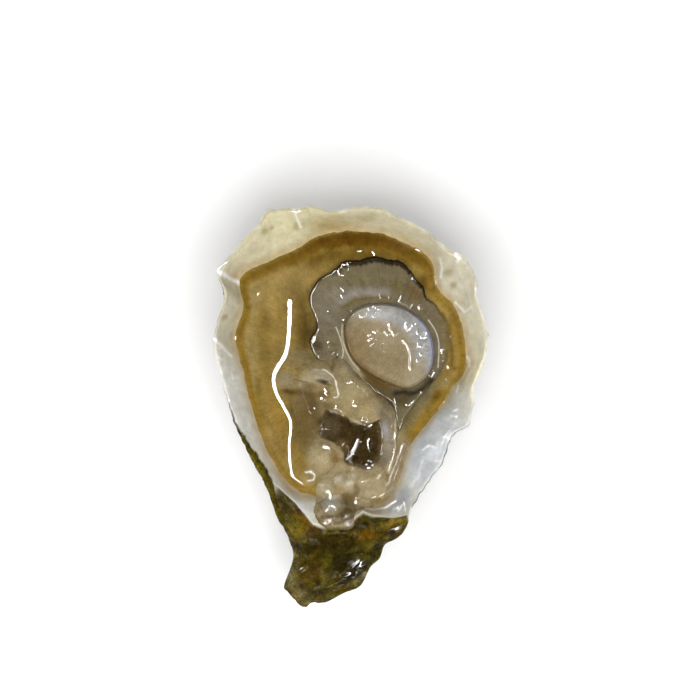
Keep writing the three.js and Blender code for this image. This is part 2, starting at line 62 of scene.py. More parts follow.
EDGE_HEIGHTS = [
    (-50, 14.5), (-45, 15.3), (-36, 17.2), (-27, 19.3), (-15, 21.8), (0, 23.5), (25, 24.5), (40, 25.4),
    (50, 25.6),
]
# Folds that run up the wall to the teeth of the edge: direction in degrees, width and rise.
WALL_FOLDS = [
    (142, 5, 1.4), (163.5, 4, 1), (105, 5, 0.9), (126, 9, 0.9), (36, 6, 0.8), (-4, 7, 0.8), (-27, 5, -0.9),
    (64, 6, -0.6), (186, 6, -0.6),
]
WATERLINE = [
    (0, 44), (-5.6, 43.4), (-8.9, 42.6), (-12.6, 40.2), (-16.4, 38.2), (-20.8, 36.3), (-28, 32.2),
    (-27.1, 25), (-29.2, 17.5), (-27.4, 9.5), (-25.2, 0), (-22, -9.4), (-18, -16.8), (-13.8, -21.2),
    (-7, -23.6), (0, -24.8), (6.4, -25.4), (10.4, -22.8), (12.6, -18), (15.4, -10), (19.4, -4.6), (23.8, 0.6),
    (26, 4.6), (29.2, 9.2), (28.8, 17.5), (26.4, 25), (22.2, 29.6), (20.9, 35.4), (17.8, 38.9), (8.6, 43.2),
]
HINGE_LINE = [
    (-24.6, -13.6), (-20.6, -18.2), (-17.4, -20.9), (-13.6, -24.2), (-11.2, -27.2), (-9.2, -29.6),
    (-4, -30.2), (0.4, -28.4), (3.1, -26.2), (5.4, -27.2), (11, -28), (14.3, -27.4), (15.8, -25),
]
HINGE_TOP, LINING_STEP, TERRACE = 21.0, 0.5, 0.45
CUP_POWER, WALL_START, WALL_END, PLATE_POWER = 2.3, 1.8, 0.5, 1.25
GROOVE_DEPTH, GROOVE_DIRECTION, GROOVE_SPREAD = 1.2, -97, 7
FOOT_SHARE, CUP_POWER_WIDE, CUP_POWER_HINGE = 0.34, 2.1, 1.2
GROWTH_STEPS = [0.34, 0.48, 0.6, 0.7, 0.78, 0.85, 0.91, 0.96]
LAYER_RISE, FLUTE_WAVES, FLUTE_DEPTH = 1.5, 22, 0.6

DISH_LEVEL = 13.6
# The line of the mantle's crest, and the mantle's lower folds: a line, a width and a rise each.
CREST = [
    (-15, 28.2), (-15.2, 25.4), (-15.2, 22.6), (-15.4, 18.4), (-15.9, 14.1), (-16.9, 11.4), (-18.6, 9.1),
    (-19.4, 6.4), (-18.6, 3.1), (-17.4, 0.9), (-15.9, -1.9), (-14.9, -4.1), (-15.1, -7.4), (-15.4, -11.1),
    (-14.9, -16.1), (-14.1, -18.4), (-11.6, -20.1),
]
MANTLE_FOLDS = [
    ([(-22.6, 27), (-21.4, 18), (-23.4, 9.4), (-21.8, 0), (-18.4, -11)], 2.4, 0.25),
    ([(-19, 32.6), (-8.4, 33.6), (0, 39.4), (10, 39.4)], 2.4, 0.4),
]
MUSCLE_CENTRE, MUSCLE_TOP = (9.9, 14.9), 18.6
MUSCLE = [
    (-1.5, 19.3), (-0.6, 22.2), (1.7, 24.3), (5.4, 25.5), (10.5, 25.3), (15.1, 23.5), (18.9, 20.2),
    (20.7, 15.6), (20.7, 11), (19.2, 7.4), (16.2, 5), (13.6, 4.3), (8.7, 5.8), (4, 8.5), (0.8, 11.4),
    (-1, 14.9),
]
GILL_EDGE = [
    (-10.3, 15.6), (-8.6, 20.4), (-10.4, 26), (-10.2, 28.8), (-8, 31.3), (-3.4, 35), (0.4, 36.4), (6.8, 37.1),
    (11.5, 36.4), (14.9, 34.1), (17.5, 30.7), (19.8, 26.6), (24, 22), (25, 15.6), (24, 10.4), (21, 5.8),
    (17.2, 1.2), (14, -3), (12.4, -6.6), (11.5, -3), (10.6, 0.4), (6.8, 2.9), (3.2, 6.2), (0, 9.6),
    (-2.6, 12), (-5.7, 11.4), (-8.6, 11.8),
]
GILL_LEVEL = 17.3
BODY_CENTRE = (-1.6, -6.0)
BODY = [
    (-4.4, 13), (0, 11.2), (3, 7.8), (6.4, 4.2), (9.8, 1.1), (11.8, -2.4), (11.9, -7), (11.4, -12),
    (10.4, -16.4), (7, -19.6), (0, -20.6), (-7, -19.8), (-11, -17.4), (-13, -10.9), (-13.8, -3.6),
    (-15.4, 2.2), (-15.2, 7), (-11, 11.8),
]
GLAND_CENTRE, GLAND_RISE, CRATER_DEPTH = (0.9, -8.6), 0.6, 0.7
GLAND = [
    (-5.6, -1.7), (-3.4, -2.3), (-1.2, -2.9), (0.4, -4.2), (3.8, -5), (5.3, -4.5), (6.9, -4), (7.6, -6),
    (7.8, -8.8), (7.4, -11.9), (6.2, -14.3), (4.2, -15.6), (2.3, -15.2), (0.2, -14.6), (-1.4, -13.7),
    (-1.6, -12), (-2.8, -10.4), (-4.2, -9.2), (-7, -8), (-7.4, -5.4), (-6.6, -2.9),
]
PALPS_CENTRE = (-1.6, -22.6)
PALPS = [
    (-8.7, -19.8), (-8.9, -22.6), (-9.2, -25.3), (-9, -27.6), (-7.9, -29.4), (-6, -30.9), (-3.2, -31.1),
    (-0.8, -31.3), (1, -30.3), (0.9, -28.4), (1.6, -26.6), (3.6, -25.9), (6, -25.6), (8.3, -24.2),
    (9.4, -21.6), (9.8, -18.6), (8.4, -16.8), (4.6, -16.2), (0.6, -16.5), (-3, -15.9), (-6.2, -16.7),
    (-7.8, -17.8),
]
LIGAMENT_CENTRE, LIGAMENT_RISE = (-3.0, -34.2), 1.1
LIGAMENT = [(-7.6, -33.6), (-4.4, -32.2), (-0.4, -32.2), (1.2, -34), (-0.8, -36.6), (-4.6, -37), (-7.4, -36)]

# ------------------------------------------------------------------ small mathematics


def clamp(v):
    return np.clip(v, 0.0, 1.0)


def mix(a, b, t):
    return a + (b - a) * t


def smooth(start, end, v):
    t = clamp((v - start) / (end - start))
    return t * t * (3 - 2 * t)


def bump(v, at, width):
    return np.exp(-(((v - at) / width) ** 2))


def lean(y):
    """How far to the side the beak is bent."""
    return BEND_RATE * np.maximum(0, BEND_START - y) ** 2


def straighten(points):
    p = np.array(points, float)
    p[:, 0] += lean(p[:, 1])
    return p


def straight_rows(rows):
    """Rows that start with a place, with that place moved to where it is on the straight beak."""
    return [(*straighten([row[:2]])[0], *row[2:]) for row in rows]


def spline(a, b, c, d, samples):
    """Steps from b up to c along a smooth line through a, b, c and d."""
    t = np.linspace(0, 1, samples, endpoint=False)[None, :, None]
    start, end = (c - a) / 2, (d - b) / 2
    line = (2 * b - 2 * c + start + end) * t**3 + (-3 * b + 3 * c - 2 * start - end) * t**2 + start * t + b
    return line.reshape(-1, 2)


def closed_line(points, samples=32):
    """A smooth closed line through a few points, with the beak straight."""
    p = straighten(points)
    return spline(*(np.roll(p, k, 0)[:, None, :] for k in (1, 0, -1, -2)), samples)


def open_line(points, samples=8):
    """A smooth open line through a few points."""
    p = np.array(points, float)
    p = np.vstack([2 * p[0] - p[1], p, 2 * p[-1] - p[-2]])
    return np.vstack([spline(p[:-3, None], p[1:-2, None], p[2:-1, None], p[3:, None], samples), p[-2:-1]])


def polar(x, y, centre):
    return np.hypot(x - centre[0], y - centre[1]), np.arctan2(y - centre[1], x - centre[0])


def placed(centre, radius, angle):
    return centre[0] + radius * np.cos(angle), centre[1] + radius * np.sin(angle)


def facing(angle, degrees):
    """1 in the direction given in degrees, 0 square to it and -1 behind."""
    return np.cos(angle - math.radians(degrees))


def degrees_apart(angle, degrees):
    return (np.degrees(angle) - degrees + 180) % 360 - 180


def seen_from(centre, line, values=None):
    """A closed line as seen from a point inside it: its distance, or the values given, at any angle."""
    radius, angle = polar(line[:, 0], line[:, 1], centre)
    order = np.argsort(angle)
    angle, kept = angle[order], (radius if values is None else values)[order]
    return lambda a: np.interp(a, angle, kept, period=TURN)


def share_and_angle(x, y, centre, line_at):
    """The share of the way from a centre to the line round it, and the angle."""
    radius, angle = polar(x, y, centre)
    return radius / line_at(angle), angle


def height_at(surface, place):
    """The height of a surface at one place."""
    return float(surface(*np.array(place, float)[:, None])[0])


def distance(x, y, line):
    """Distance to an open line, its share of the way along it, and the side: positive on the left of it."""
    line = np.asarray(line, float)
    x, y = np.asarray(x, float), np.asarray(y, float)
    least = np.full(np.shape(x), 1e9)
    along = np.zeros(np.shape(x))
    side = np.ones(np.shape(x))
    lengths = np.hypot(*np.diff(line, axis=0).T)
    whole = lengths.sum()
    start = 0.0
    for (ax, ay), (bx, by), length in zip(line[:-1], line[1:], lengths):
        t = clamp(((x - ax) * (bx - ax) + (y - ay) * (by - ay)) / max(length**2, 1e-12))
        away = np.hypot(x - mix(ax, bx, t), y - mix(ay, by, t))
        near = away < least
        least = np.where(near, away, least)
        along = np.where(near, (start + t * length) / whole, along)
        side = np.where(near, np.sign((bx - ax) * (y - ay) - (by - ay) * (x - ax)), side)
        start += length
    return least, along, side


# ------------------------------------------------------------------ noise

seeds = np.random.RandomState(11)
PERM = np.tile(seeds.permutation(256), 3)
GRADIENTS = seeds.normal(size=(256, 3))
GRADIENTS /= np.linalg.norm(GRADIENTS, axis=1)[:, None]
NOISE_GAIN = 1.6


def noise(x, y, z=0.0, size=1.0):
    """Smooth noise from about -1 to 1, with features of the size given."""
    x, y, z = np.broadcast_arrays(*(np.asarray(v, float) / size for v in (x, y, z)))
    xi, yi, zi = (np.floor(v).astype(int) for v in (x, y, z))
    xf, yf, zf = x - xi, y - yi, z - zi
    u, v, w = (f**3 * (f * (f * 6 - 15) + 10) for f in (xf, yf, zf))

    def corner(dx, dy, dz):
        g = GRADIENTS[PERM[PERM[PERM[(xi + dx) & 255] + ((yi + dy) & 255)] + ((zi + dz) & 255)]]
        return g[..., 0] * (xf - dx) + g[..., 1] * (yf - dy) + g[..., 2] * (zf - dz)

    low = mix(mix(corner(0, 0, 0), corner(1, 0, 0), u), mix(corner(0, 1, 0), corner(1, 1, 0), u), v)
    high = mix(mix(corner(0, 0, 1), corner(1, 0, 1), u), mix(corner(0, 1, 1), corner(1, 1, 1), u), v)
    return NOISE_GAIN * mix(low, high, w)


def rough(x, y, z=0.0, size=1.0, octaves=3):
    """Noise in several sizes, each half as large and half as strong as the one before."""
    total, share = 0.0, 1.0
    for k in range(octaves):
        total = total + share * noise(x, y, np.asarray(z) + 17.3 * k, size / 2**k)
        share *= 0.5
    return total / NOISE_GAIN


def sawtooth(v):
    """Rises slowly from 0 to 1 and falls back at once, as the free edge of a growth layer does."""
    f = v - np.floor(v)
    return f * smooth(1.0, 0.86, f)


# ------------------------------------------------------------------ relief and film that pieces share

# How steep a raised line is for its width, and how sharply lobes meet.
RIDGE_STEEPNESS, LOBE_SHARPNESS = 0.68, 3.2


def spot(x, y, at, reach_x, reach_y=None, turn=0.0):
    """A soft oval patch; turn is in degrees."""
    c, s = math.cos(math.radians(turn)), math.sin(math.radians(turn))
    dx, dy = x - at[0], y - at[1]
    u, v = (dx * c + dy * s) / reach_x, (dy * c - dx * s) / (reach_y or reach_x)
    return np.exp(-((u * u + v * v) ** 1.5))


def stroke(x, y, line, width):
    """A soft line of even strength."""
    return bump(distance(x, y, line)[0], 0, width)


def folded(folds, x, y):
    """The height that a set of folds adds; each fold dies away towards its ends."""
    total = np.zeros(np.shape(x))
    for line, width, rise in folds:
        ends = np.minimum(polar(x, y, line[0])[0], polar(x, y, line[-1])[0])
        total += rise * stroke(x, y, line, width) * smooth(-1.5, 2.5, ends / width)
    return total


def ridges(x, y, rows):
    """Fine raised lines of skin or of clinging liquor: a line and the width of its steep side. That side is
    on the right hand of someone who walks along the line; the other side runs out slowly."""
    total = np.zeros(np.shape(x))
    for points, width in rows:
        line = open_line(points, 4)
        low, high = line.min(0) - 6 * width, line.max(0) + 6 * width
        near = (x > low[0]) & (x < high[0]) & (y > low[1]) & (y < high[1])
        away, along, side = distance(x[near], y[near], line)
        reach = np.where(side < 0, width, 3 * width)
        ends = smooth(0, 0.12, along) * smooth(1, 0.88, along)
        total[near] = np.maximum(total[near], RIDGE_STEEPNESS * width * bump(away, 0, reach) * ends)
    return total


def crumples(x, y, rows):
    """Patches of fine creases: place, reach, height and the size of the creases."""
    total = np.zeros(np.shape(x))
    for px, py, reach, height, size in rows:
        near = polar(x, y, (px, py))[0] < 1.6 * reach
        creases = 0.6 - 2 * np.abs(noise(x[near], y[near], px + py, size))
        total[near] += height * spot(x[near], y[near], (px, py), reach) * creases
    return total


def shine(x, y, base, lines, patches):
    """How wet the skin looks: a base everywhere, and the full film on raised lines and creased patches."""
    film_there = smooth(0.01, 0.05, ridges(x, y, lines))
    for px, py, reach, *_ in patches:
        film_there = np.maximum(film_there, 0.9 * spot(x, y, (px, py), 0.9 * reach))
    return np.maximum(base, film_there)


def lobed(x, y, rows):
    """The level of rounded lobes that run into each other, and a mask of the creases between them.
    A lobe is a place, its reach both ways, its turn in degrees, its level and how far its sides fall."""
    levels = []
    for px, py, reach_x, reach_y, turn, level, drop in rows:
        c, s = math.cos(math.radians(turn)), math.sin(math.radians(turn))
        u, v = ((x - px) * c + (y - py) * s) / reach_x, ((y - py) * c - (x - px) * s) / reach_y
        levels.append(level - drop * np.minimum(u * u + v * v, 6.0))
    levels = np.array(levels)
    top = levels.max(0)
    level = top + np.log(np.exp(LOBE_SHARPNESS * (levels - top)).sum(0)) / LOBE_SHARPNESS
    second = np.sort(levels, axis=0)[-2]
    return np.maximum(0.4, level), smooth(0.45, 0.0, top - second)


# ------------------------------------------------------------------ colours


def rgb(red, green, blue):
    """A colour as seen on a screen, from 0 to 255, as light."""
    c = np.array([red, green, blue], float) / 255
    return np.where(c <= 0.04045, c / 12.92, ((c + 0.055) / 1.055) ** 2.4)


def plain(x, colour):
    """One colour at every corner."""
    return np.tile(rgb(*colour), (len(x), 1))


def paint(colours, mask, colour):
    return mix(colours, colour, clamp(mask)[..., None])


def painted(colours, x, y, rows, within=1.0):
    """Soft patches and lines of colour: strength, a place or a line, its reach or width, and the colour."""
    for strength, where, reach, colour in rows:
        mask = spot(x, y, where, *reach) if isinstance(reach, tuple) else stroke(x, y, where, reach)
        colours = paint(colours, strength * within * mask, rgb(*colour))
    return colours


def blotched(colours, x, y, rows):
    """Noise patches of colour: strength, the noise where they start and where they are full, its seed, size
    and octaves, and the colour."""
    for strength, start, full, seed, size, octaves, colour in rows:
        mask = smooth(start, full, rough(x, y, seed, size, octaves))
        colours = paint(colours, strength * mask, rgb(*colour))
    return colours


def wandering(x, y, seed, size, reach):
    """Places moved a little by noise, so that the patches painted there have uneven edges."""
    return x + reach * rough(x, y, seed, size), y + reach * rough(x, y, seed + 2, size)


# ------------------------------------------------------------------ the valve's surfaces


def edge_height(x, y):
    """The level of the edge, with the folds that run up to its teeth."""
    heights = np.array(EDGE_HEIGHTS, float)
    angle = polar(x, y, CUP_CENTRE)[1]
    folds = sum(rise * bump(degrees_apart(angle, at), 0, width) for at, width, rise in WALL_FOLDS)
    return np.interp(y, heights[:, 0], heights[:, 1]) + folds


edge_curve = closed_line(OUTLINE)
edge_at = seen_from(CUP_CENTRE, edge_curve)
edge_z_at = seen_from(CUP_CENTRE, edge_curve, edge_height(edge_curve[:, 0], edge_curve[:, 1]))
water_at = seen_from(CUP_CENTRE, closed_line(WATERLINE))
hinge_radius, hinge_angle = polar(*straighten(HINGE_LINE).T, CUP_CENTRE)


def lining_at(angle):
    """Where the white lining ends: near the edge, and short of it at the hinge."""
    edge = edge_at(angle)
    a = np.where(angle > math.pi, angle - TURN, angle)
    on_hinge = (a > hinge_angle[0]) & (a < hinge_angle[-1])
    radius = np.minimum(edge - LIP, np.where(on_hinge, np.interp(a, hinge_angle, hinge_radius), 1e9))
    inset = smooth(0, 8, edge - LIP - radius)
    return radius, mix(edge_z_at(angle) + 0.3, HINGE_TOP, inset)


def plate_relief(share, angle):
    """The rough plate's terraces, its groove and the step down from the lining."""
    terraces = TERRACE * np.cos((share - 0.05) * 4 * math.pi) * (1 - share) * smooth(0, 0.05, share)
    in_groove = bump(degrees_apart(angle, GROOVE_DIRECTION), 0, GROOVE_SPREAD) * bump(share, 0.3, 0.3)
    return terraces - GROOVE_DEPTH * in_groove - LINING_STEP * smooth(0, 0.05, share) * (1 - share)


def inside_height(x, y):
    """The inside of the cup and, past the lining's end, the rough plate that slopes down to the beak."""
    radius, angle = polar(x, y, CUP_CENTRE)
    water = water_at(angle)
    lining, lining_z = lining_at(angle)
    edge, edge_z = edge_at(angle), edge_z_at(angle)
    floor = mix(SHELL_FLOOR, POOL_LEVEL, clamp(radius / water) ** CUP_POWER)
    t = clamp((radius - water) / (lining - water))
    rise = lining_z - POOL_LEVEL
    cup_slope = CUP_POWER * (POOL_LEVEL - SHELL_FLOOR) / water
    start = np.minimum(WALL_START, cup_slope * (lining - water) / rise)
    bend = t**3 * (start + WALL_END - 2) + t * t * (3 - 2 * start - WALL_END)
    wall = POOL_LEVEL + rise * (bend + t * start)
    e = clamp((radius - lining) / (edge - lining))
    plate = mix(lining_z, edge_z, e**PLATE_POWER) + smooth(2, 10, edge - lining) * plate_relief(e, angle)
    return np.where(radius < water, floor, np.where(radius < lining, wall, plate))


def outside_height(x, y):
    share, angle = share_and_angle(x, y, CUP_CENTRE, edge_at)
    past_foot = clamp((share - FOOT_SHARE) / (1 - FOOT_SHARE))
    hinge_side = smooth(0.2, -1, np.sin(angle))
    return edge_z_at(angle) * past_foot ** mix(CUP_POWER_WIDE, CUP_POWER_HINGE, hinge_side)


def growth_relief(share, angle, reach):
    """How far the growth layers and flutes stand out at a share of the way from the beak to the edge."""
    steps = np.array([0, *GROWTH_STEPS, 1])
    layer = np.clip(np.searchsorted(steps, share, side="right") - 1, 0, len(GROWTH_STEPS))
    width = steps[layer + 1] - steps[layer]
    along = (share - steps[layer]) / width
    rise = np.minimum(LAYER_RISE, 0.4 * width * reach)
    ruffle = 0.75 + 0.25 * np.sin(13 * angle + 2.4 * layer)
    flutes = FLUTE_DEPTH * np.sin(FLUTE_WAVES * angle) * smooth(0.3, 0.8, share) * clamp(reach / 30)
    last = np.where(layer == len(GROWTH_STEPS), 1 - along, 1)
    return (rise * ruffle * along**1.5 + flutes) * last


# ------------------------------------------------------------------ meshes


def make_piece(name, node, corners, faces, tint, material, slot, **fields):
    """A piece that replaces a CAD node: corners in mm with the beak straight, faces as rows of corners."""
    bent = np.array(corners, float)
    bent[:, 0] -= lean(bent[:, 1])
    mesh = bpy.data.meshes.new(name)
    mesh.from_pydata((bent / 1000).tolist(), [], faces)
    mesh.update()
    mesh.shade_smooth()
    colours = mesh.color_attributes.new("tint", "FLOAT_COLOR", "POINT")
    opaque = np.hstack([clamp(tint), np.ones((len(tint), 1))])
    colours.data.foreach_set("color", opaque.astype(np.float32).ravel())
    for key, values in fields.items():
        kind, part = ("FLOAT_VECTOR", "vector") if values.ndim == 2 else ("FLOAT", "value")
        stored = mesh.attributes.new(key, kind, "POINT")
        stored.data.foreach_set(part, values.astype(np.float32).ravel())
    piece = bpy.data.objects.new(name, mesh)
    bpy.context.scene.collection.objects.link(piece)
    mesh.materials.append(material)
    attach(piece, "root")
    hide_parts(node)


def ring_faces(rings, around, closed_band=False):
    """Faces of rings of equal size; the corner list is the first point, the rings and the last point.
    A closed band has neither point: its last ring joins its first."""
    first = 0 if closed_band else 1
    i = np.arange(around)
    j = (i + 1) % around
    rows = np.arange(rings if closed_band else rings - 1)
    below = first + rows[:, None] * around
    above = first + ((rows[:, None] + 1) % rings) * around
    quads = np.stack([below + i, above + i, above + j, below + j], -1).reshape(-1, 4).tolist()
    if closed_band:
        return quads
    last, end = first + (rings - 1) * around, 1 + rings * around
    fans = [[0, a, b] for a, b in zip((first + i).tolist(), (first + j).tolist())]
    fans += [[end, a, b] for a, b in zip((last + j).tolist(), (last + i).tolist())]
    return quads + fans


def outward(corners, faces):
    """Turns the faces over if they look inwards."""
    quads = np.array([f for f in faces if len(f) == 4])
    a, b, c, d = (corners[quads[:, k]] for k in range(4))
    volume = (np.einsum("ij,ij->i", a, np.cross(b, c)) + np.einsum("ij,ij->i", a, np.cross(c, d))).sum()
    return faces if volume > 0 else [f[::-1] for f in faces]


def rings_round(centre, line_at, shares, around):
    """Rings round a centre, at shares of the way to a line: x, y, the share and the angle of every corner."""
    angle = np.arange(around) * TURN / around
    share = np.asarray(shares, float)[:, None]
    radius = share * line_at(angle)[None, :]
    x, y = placed(centre, radius, angle)
    return x, y, share + 0 * radius, angle + 0 * radius


def rows_of_corners(grids):
    return np.vstack([np.stack(grid, -1).reshape(-1, 3) for grid in grids])


def stack(first, grids, last):
    """One corner list from a first point, grids of (x, y, z) and a last point."""
    return np.vstack([np.array([first], float), rows_of_corners(grids), np.array([last], float)])


def side_profile(share, softness):
    """How a heap's height falls towards its edge: at once where the softness is 0, slowly where it is 1."""
    return (1 - share ** mix(9, 2.2, softness)) ** mix(0.6, 1.3, softness)


# How deep a heap's edge and its underside lie in the ground.
EDGE_SINKS, UNDERSIDE_SINKS = 0.12, 0.35


def heap(centre, line, around, shares, ground, rise, softness):
    """A rounded heap inside a line, sunk a little into what it lies on: its corners, its faces and each
    corner's share of the way to the line. softness gives, by direction, how gently its side runs out."""
    middle = straighten([centre])[0]
    line_at = seen_from(middle, closed_line(line))
    x, y, share, angle = rings_round(middle, line_at, shares, around)
    waver = 1 + 0.05 * rough(x, y, 8.0, 2.4, 3) * smooth(0.8, 1.0, share)
    x, y = mix(middle[0], x, waver), mix(middle[1], y, waver)
    z = ground(x, y) - EDGE_SINKS + rise(x, y) * side_profile(share, softness(angle))
    ux, uy, _, _ = rings_round(middle, line_at, [0.94, 0.5], around)
    top = height_at(ground, middle) - EDGE_SINKS + height_at(rise, middle)
    bottom = height_at(ground, middle) - UNDERSIDE_SINKS
    under = ux, uy, ground(ux, uy) - UNDERSIDE_SINKS
    corners = stack((*middle, top), [(x, y, z), under], (*middle, bottom))
    corner_shares = np.concatenate([[0], share.ravel(), np.ones(2 * around + 1)])
    return corners, outward(corners, ring_faces(len(shares) + 2, around)), corner_shares


# ------------------------------------------------------------------ node materials

# The range that a noise texture mostly stays in, and how strongly the film of liquor bends light.
NOISE_LOW, NOISE_HIGH, FILM_IOR = 0.3, 0.7, 1.45


def set_numbers(node, values):
    for socket, value in values.items():
        node.inputs[socket].default_value = value


def field(material, name, output="Fac"):
    """What one of the mesh's own fields says."""
    node = material.node_tree.nodes.new("ShaderNodeAttribute")
    node.attribute_name = name
    return node.outputs[output]


def texture(material, size, detail, grain):
    """Noise with features of a size in mm or, where a grain is given, in the units of that field."""
    nodes = material.node_tree.nodes
    place = field(material, grain, "Vector") if grain else nodes.new("ShaderNodeTexCoord").outputs["Object"]
    node = nodes.new("ShaderNodeTexNoise")
    set_numbers(node, {"Detail": detail, "Roughness": 0.55, "Scale": (1 if grain else 1000) / size})
    material.node_tree.links.new(place, node.inputs["Vector"])
    return node.outputs["Fac"]


def spread(material, factor, low, high):
    """Takes the usual range of a noise to the range from low to high."""
    node = material.node_tree.nodes.new("ShaderNodeMapRange")
    set_numbers(node, {"From Min": NOISE_LOW, "From Max": NOISE_HIGH, "To Min": low, "To Max": high})
    material.node_tree.links.new(factor, node.inputs["Value"])
    return node.outputs["Result"]


def speckled(material, colour, rows, grain):
    """A colour times noise: size, darkest, lightest, detail, along the grain or not and, if any, the field
    that weighs it."""
    nodes, links = material.node_tree.nodes, material.node_tree.links
    for size, dark, light, detail, stretched, *weight in rows:
        factor = texture(material, size, detail, grain if stretched else None)
        amount = nodes.new("ShaderNodeMath")
        amount.operation = "MULTIPLY_ADD"
        links.new(spread(material, factor, dark - 1, light - 1), amount.inputs[0])
        amount.inputs[1].default_value, amount.inputs[2].default_value = 1, 1
        if weight:
            links.new(field(material, weight[0]), amount.inputs[1])
        scaled = nodes.new("ShaderNodeVectorMath")
        scaled.operation = "SCALE"
        links.new(colour, scaled.inputs[0])
        links.new(amount.outputs["Value"], scaled.inputs["Scale"])
        colour = scaled.outputs["Vector"]
    return colour


def bumped(material, rows, grain):
    """A normal roughened by noise: size, depth, detail, along the grain or not and, if any, the field that
    weighs it. Size and depth are in mm."""
    links = material.node_tree.links
    normal = None
    for size, depth, detail, stretched, *weight in rows:
        node = material.node_tree.nodes.new("ShaderNodeBump")
        set_numbers(node, {"Strength": 1.0, "Distance": depth / 1000})
        if weight:
            links.new(field(material, weight[0]), node.inputs["Strength"])
        links.new(texture(material, size, detail, grain if stretched else None), node.inputs["Height"])
        if normal:
            links.new(normal, node.inputs["Normal"])
        normal = node.outputs["Normal"]
    return normal


def node_material(name, speckles, bumps, grain=None, roughness=0.6, rough_range=0.0, ior=1.4, wet=True,
                  coat_roughness=0.03, subsurface=0.0, radius=(1.0, 0.8, 0.45), depth=0.0015):
    """A Principled material that starts from the piece's tint, with a coat where its field wet says so."""
    material = bpy.data.materials.new(name)
    material.use_nodes = True
    nodes, links = material.node_tree.nodes, material.node_tree.links
    nodes.clear()
    out = nodes.new("ShaderNodeOutputMaterial")
    shader = nodes.new("ShaderNodeBsdfPrincipled")
    set_numbers(shader, {
        "Roughness": roughness, "IOR": ior, "Specular IOR Level": 0.0, "Coat Roughness": coat_roughness,
        "Coat IOR": FILM_IOR, "Subsurface Weight": subsurface, "Subsurface Radius": radius,
        "Subsurface Scale": depth,
    })
    links.new(shader.outputs["BSDF"], out.inputs["Surface"])
    colour = speckled(material, field(material, "tint", "Color"), speckles, grain)
    links.new(colour, shader.inputs["Base Color"])
    links.new(bumped(material, bumps, grain), shader.inputs["Normal"])
    if wet:
        links.new(field(material, "wet"), shader.inputs["Coat Weight"])
    if rough_range:
        patches = texture(material, 3.0, 3, None)
        uneven = spread(material, patches, roughness - rough_range, roughness + rough_range)
        links.new(uneven, shader.inputs["Roughness"])
    return material


# ------------------------------------------------------------------ shell

SHELL_AROUND = 620

# Wet creases of the lining that run up to the teeth of the edge: a line and its width.
CREASES = [
    ([(-33.2, 34.4), (-31.8, 32.9), (-30.2, 31.8), (-27.6, 30.6), (-25.4, 29.2)], 0.75),
    ([(-34.2, 16.8), (-32.4, 15.2), (-29.9, 12.4)], 0.45),
    ([(-14.1, 48.9), (-13.4, 46.8), (-12.4, 44.6)], 0.4), ([(26.4, 25.8), (28.6, 23.4), (30.2, 24.6)], 0.45),
    ([(29.1, 12.8), (29.9, 11.2), (29.9, 9.8)], 0.34), ([(18.1, -11.1), (19.7, -9.9), (21.4, -10.6)], 0.36),
    ([(21.2, -13.9), (23.2, -13.8)], 0.32), ([(2.5, -25.3), (5.5, -26.2), (8.6, -25.6), (11.4, -24)], 0.34),
    ([(11.9, -26.6), (13, -24.9)], 0.2), ([(13.8, -26.4), (13.4, -24.2)], 0.18),
    ([(27, 5), (26.7, 3.4)], 0.36), ([(22.5, 36.7), (22.9, 34.4), (22.7, 32.2)], 0.42),
    ([(26.6, 36), (27.6, 37.4)], 0.45), ([(-29.8, 8.4), (-29.2, 6.8)], 0.4),
    ([(23, -7.8), (25.6, -8.2)], 0.34), ([(31, 29.4), (32.2, 28.2)], 0.34), ([(-30.9, 2), (-30.6, 0.4)], 0.3),
    ([(-32.9, 12.2), (-32.2, 11.4)], 0.3), ([(25.6, -1.4), (26.8, -1)], 0.34),
    ([(25.2, -2.4), (26.6, -2.9)], 0.34),
]
LINING_CRUMPLES = [(24.4, -6.4, 1.4, 0.12, 0.9), (27.2, 36.6, 1.6, 0.14, 0.9), (7, 46.5, 3, 0.08, 1)]
# Drops of liquor left on the hinge plate: place and reach.
PLATE_DROPS = [
    ((1.8, -40), 1.4), ((0.2, -42.4), 1), ((-12.1, -41.2), 0.6), ((11.4, -30.6), 1.2), ((-1.4, -33), 0.6),
]
NACRE_TINTS = [
    (1, (-14, 48), (20, 13, 30), (208, 200, 164)), (1, (14, 46), (16, 8, -25), (204, 196, 166)),
    (1, (-31, 14), (6, 16, 10), (198, 192, 169)), (1, (-27, -3), (8, 20, 27), (222, 221, 214)),
    # The small pale patch at (31, 8) is painted light, lightening a steep wall that lies in shade.
    (1, (31, 12), (6, 18), (218, 212, 186)), (1, (31, 8), (3, 5), (246, 238, 206)),
    (1, (21, -10), (11, 14, -30), (193, 197, 200)), (0.4, (18.4, -16.4), (2.4, 5, -20), (178, 181, 184)),
    (0.7, (22.6, -6.2), (3.0, 4.0, -30), (212, 214, 213)), (0.9, (12, -23.6), (5, 4), (146, 148, 150)),
    (1, (-13.2, -26), (4, 4), (212, 213, 210)), (0.6, (-4, 45.6), (7, 2.4), (176, 156, 104)),
    (0.45, (-5.7, 45.3), (2.6, 1.0), (164, 140, 80)), (0.45, (4.5, 46.9), (2.4, 0.9, 12), (162, 140, 86)),
]
